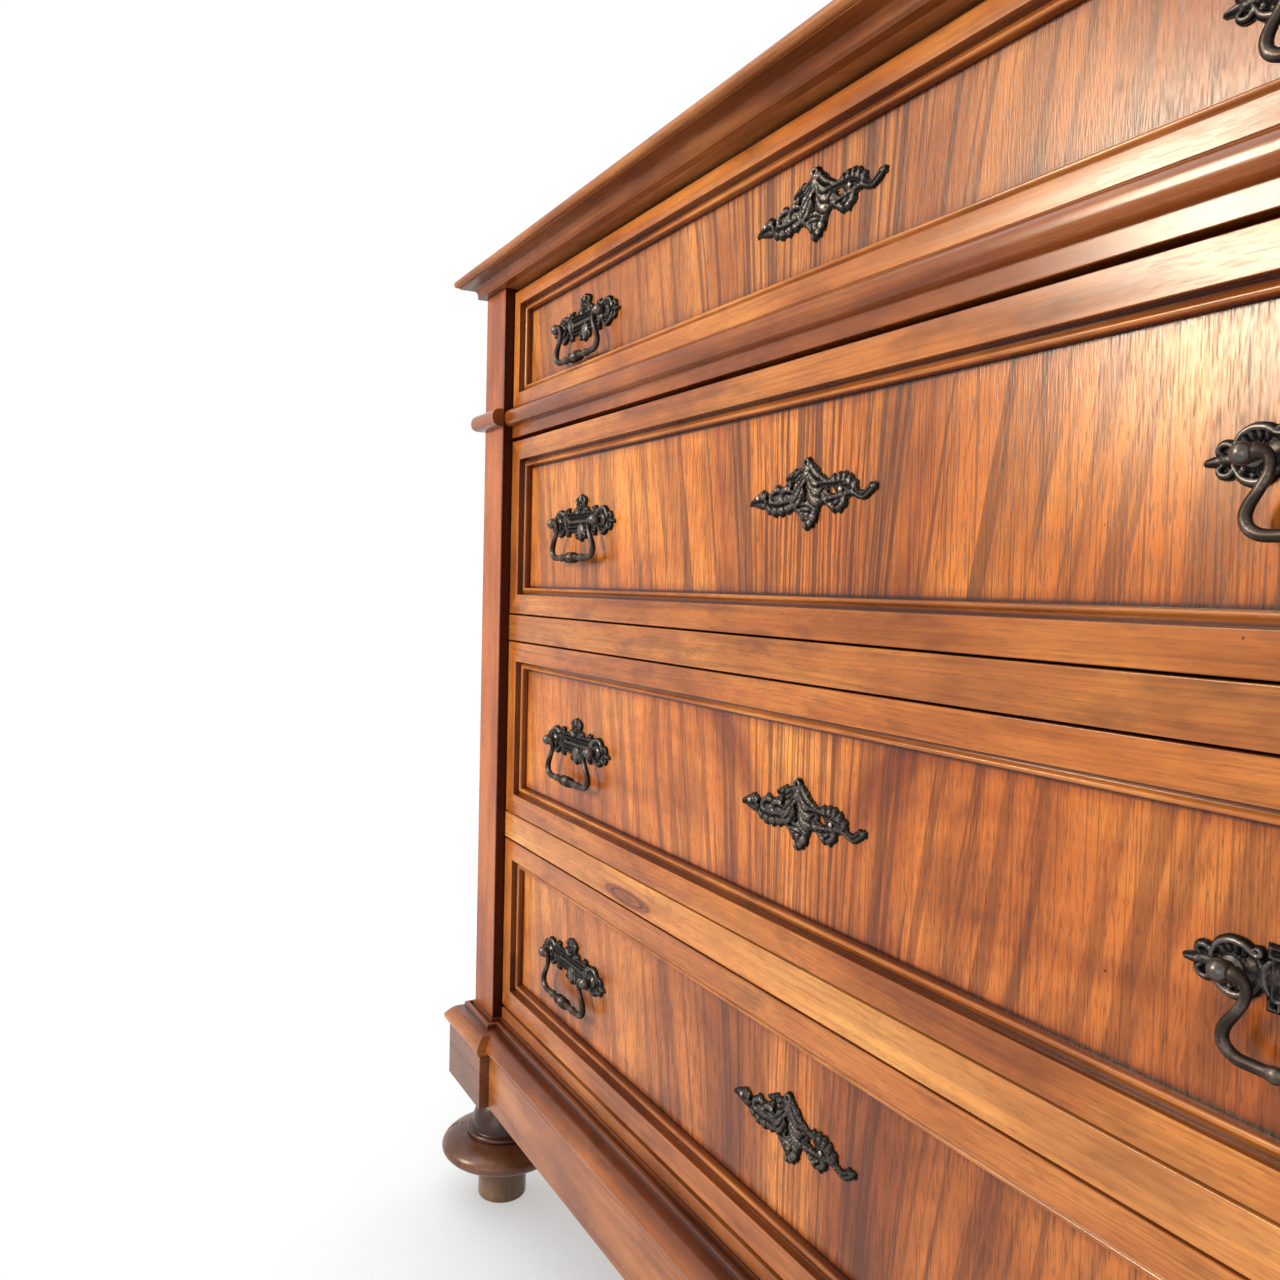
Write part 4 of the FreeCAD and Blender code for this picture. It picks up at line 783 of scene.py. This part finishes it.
# A bail from one pin to the other: pins turned out into the balls, swan necks, shoulders under the balls, and
# a low bar that swells to rings at its middle and to a knuckle on each side
ball_stand, ball_radius, pin_radius = 10.5, 5.0, 1.6
half_bail = [(49, 0), (46, 0), (42.5, 0), (38.6, 0), (35.6, -1.8), (34.6, -5), (35.6, -9.5), (38.8, -15),
             (42.4, -20.6), (43.8, -25.2), (42.4, -29.6), (37.5, -32.6), (30, -33.2), (18, -33.2), (6, -33.2)]
bail_line = flow(half_bail + [(-x, z) for x, z in reversed(half_bail)], 280)
along = np.concatenate([[0], np.cumsum(np.linalg.norm(np.diff(bail_line, axis=0), axis=1))])
bail_radii = np.interp(np.minimum(along, along[-1] - along), (0, 7.4, 7.6, 8.8, 11, 14, 20, 30, 38, 46, 60),
                       (pin_radius, pin_radius, 3.2, 3.6, 3.2, 2.5, 2.2, 2.4, 2.7, 2.8, 2.7))
for ring_x, wide, swell in ((0.0, 3.2, 2.6), (6.8, 1.2, 2.2), (10.6, 1.2, 1.4), (22.0, 2.4, 0.9)):
    near = np.exp(-((np.abs(bail_line[:, 0]) - ring_x) / wide) ** 2)
    bail_radii += swell * near * (bail_line[:, 1] < -20)
bail_bar = tube(bail_line, bail_radii)
bail_relief = np.repeat(0.42 + 0.12 * np.sin(along * 0.3), bail_bar.shape[1])
knob_outline = [(0, 2.2), (5.2, 2.2), (5.3, 2.9), (4.5, 3.6), (3.3, 4.0), (2.9, 4.8), (2.9, 6.0)]
knob_outline += arc((0, ball_stand), (ball_radius, ball_radius), -0.92, np.pi / 2, 18).tolist()
nail_outline = arc((0, 3.2), (1.7, 1.3), 0, np.pi / 2, 7)
nut_outline = [(0, 0), (6.2, 0), (6.6, -0.5), (6.6, -3.4), (6.0, -4.0), (2.6, -4.0), (2.6, -6.5), (2.2, -7.0),
               (0, -7.0)]
nails = [(-52.0, -4.2), (36.0, -3.6)]
knob_turns, eye_rise = 40, 28.0

cast_bronze = bronze("cast_bronze")
rubbed_bronze = bronze("rubbed_bronze", "#1a1512", "#3b322d", "#857b73")
nail_steel, tree = blank("nail_steel")
# Steel nail heads, driven and rubbed bright: small grey points with a mottle of rust
grit = add(tree, "TexNoise", {"Vector": add(tree, "TexCoord", out="Object"), "Scale": 1 / (0.8 * mm)})
shine = add(tree, "ValToRGB", (grit,), stops=((0.3, "#6d665e"), (0.7, "#b5aca2")))
steel = add(tree, "BsdfPrincipled", {"Base Color": shine, "Metallic": 1.0, "Roughness": 0.28})
add(tree, "OutputMaterial", (steel,))
lock_iron = bronze("lock_iron", "#2a2623", "#4c4743", "#6f6963")

plate_points, plate_faces, plate_relief = casting(handle_plate, (-71, 72, -23, 28))
key_points, key_faces, key_relief = casting(key_plate, (-67, 69, -29, 22), 0.45)
for number in borders:
    drawer = "drawer_%d" % number
    lo, hi = span(drawer + "_front")
    panel_y, middle = lo[1], (lo[2] + hi[2]) / 2
    bails = {side: span("%s_bail_%s" % (drawer, side)) for side in ("left", "right")}
    handle_x = {side: (low[0] + high[0]) / 2 for side, (low, high) in bails.items()}
    skins, relief, nuts = [], [], []
    for x in handle_x.values():
        posts = [(x + side * post_offset, panel_y, middle) for side in (-1, 1)]
        skins += [((plate_points + (x, panel_y, middle)) * mm, plate_faces)]
        skins += [lattice(turned_out(knob_outline, post, knob_turns)) for post in posts]
        nuts += [lattice(turned_out(nut_outline, (post[0], hi[1], middle), 4)) for post in posts]
        relief += [plate_relief] + [np.full(knob_turns * len(knob_outline), 0.7)] * 2
    make(drawer + "_cast_plates", skins, cast_bronze, drawer, "bronze", drawer + "_handle_plates",
         sharp=60, relief=np.concatenate(relief))
    make(drawer + "_nuts", nuts, lock_iron, drawer, "iron")
    for side, x in handle_x.items():
        name = "%s_bail_%s" % (drawer, side)
        bar = (bail_bar + (x, panel_y - ball_stand, middle)) * mm
        make(name + "_swan_neck", [lattice(bar, caps=True)], rubbed_bronze, name, "bronze",
             name, relief=bail_relief)
    key_z = span(drawer + "_escutcheon")[0][2] + eye_rise
    make(drawer + "_cast_key_plate", [((key_points + (0, panel_y, key_z)) * mm, key_faces)], cast_bronze,
         drawer, "bronze", drawer + "_escutcheon", sharp=60, relief=key_relief)
    make(drawer + "_nails", [lattice(turned_out(nail_outline, (x, panel_y, key_z + z), 20)) for x,
                             z in nails],
         nail_steel, drawer, "iron")

# Locks
# An iron lock is screwed on the back of each front board, and its flat bolt rises into the rail above.
for number in borders:
    dress(lock_iron, "drawer_%d_lock" % number, "drawer_%d_bolt" % number, ease=0.5)

# Floor, light and camera
# A plain white floor with a soft painted shadow under the chest, one warm lamp like a window on the left,
# weak ones above, on the right and behind, and the camera close to the right end of the front, above its
# middle.
floor_mesh = bpy.data.meshes.new("floor")
reach = 8
floor_mesh.from_pydata([(-reach, -reach, 0), (reach, -reach, 0), (reach, reach, 0), (-reach, reach, 0)], [],
                       [(0, 1, 2, 3)])
floor = bpy.data.objects.new("floor", floor_mesh)
bpy.context.collection.objects.link(floor)
floor_paint, tree = blank("floor_paint")


def seen_rays(tree):
    """1 for the rays that see the white ground: the camera's, and those by way of gloss or glass."""
    rays = [add(tree, "LightPath", out="Is %s Ray" % kind) for kind in ("Camera", "Glossy", "Transmission")]
    return add(tree, "Math", (add(tree, "Math", rays[:2], operation="MAXIMUM"), rays[2]), operation="MAXIMUM")


# Painted shadow: the white glow the camera sees is darkened by ambient occlusion near the chest.
open_sky = add(tree, "AmbientOcclusion", {"Distance": 0.45}, "AO", samples=8)
shade = add(tree, "ValToRGB", (open_sky,), stops=((0.15, "#b9b5b2"), (0.85, "#ffffff")))
plain = add(tree, "BsdfDiffuse", (linear("#f4f4f4"),))
paper = add(tree, "Emission", (shade, 1.0))
add(tree, "OutputMaterial", (add(tree, "MixShader", (seen_rays(tree), plain, paper)),))
floor_mesh.materials.append(floor_paint)


def lamp(name, place, aim, size, power, tone="#ffffff"):
    """Soft area lamp at a place, turned towards an aim."""
    light = bpy.data.lights.new(name, "AREA")
    light.shape = "RECTANGLE"
    light.size, light.size_y = size
    light.energy = power
    light.color = linear(tone)[:3]
    holder = bpy.data.objects.new(name, light)
    holder.location = place
    holder.rotation_euler = (Vector(aim) - Vector(place)).to_track_quat("-Z", "Y").to_euler()
    bpy.context.collection.objects.link(holder)


lamp("window", (-0.9, -2.1, 1.45), (0.1, -0.2, 0.6), (0.4, 0.7), 50, "#ffeed2")
lamp("high", (-0.9, -1.3, 2.5), (0.0, -0.2, 0.5), (1.2, 1.2), 12)
lamp("fill", (1.3, -2.4, 0.5), (0.1, -0.2, 0.4), (1.4, 1.4), 14)
lamp("behind", (0.9, 2.6, 1.7), (0.0, 0.2, 0.5), (1.6, 1.2), 22)

world = bpy.data.worlds.new("studio")
bpy.context.scene.world = world
world.use_nodes = True
tree = world.node_tree
tree.nodes.clear()
around = add(tree, "Background", (linear("#ffffff"), 0.36))
backdrop = add(tree, "Background", (linear("#ffffff"), 1.0))
add(tree, "OutputWorld", (add(tree, "MixShader", (seen_rays(tree), around, backdrop)),))

camera = bpy.data.cameras.new("camera")
camera.sensor_width = 36.0
image_side, focal_pixels, middle_row = 1280, 1053.1, 626.6
camera.lens = camera.sensor_width * focal_pixels / image_side
camera.shift_y = (middle_row - image_side / 2) / image_side
camera.clip_start = 0.01
eye = bpy.data.objects.new("camera", camera)
right = np.array((0.47838, 0.87785, 0.02327))
up = np.array((-0.04427, -0.00236, 0.99902))
eye.location = (0.54890, face_y * mm - 0.41049, 0.67083)
eye.rotation_euler = Matrix(np.stack([right, up, np.cross(right, up)], 1).tolist()).to_euler()
bpy.context.collection.objects.link(eye)
bpy.context.scene.camera = eye
bpy.context.scene.view_settings.view_transform = "Standard"
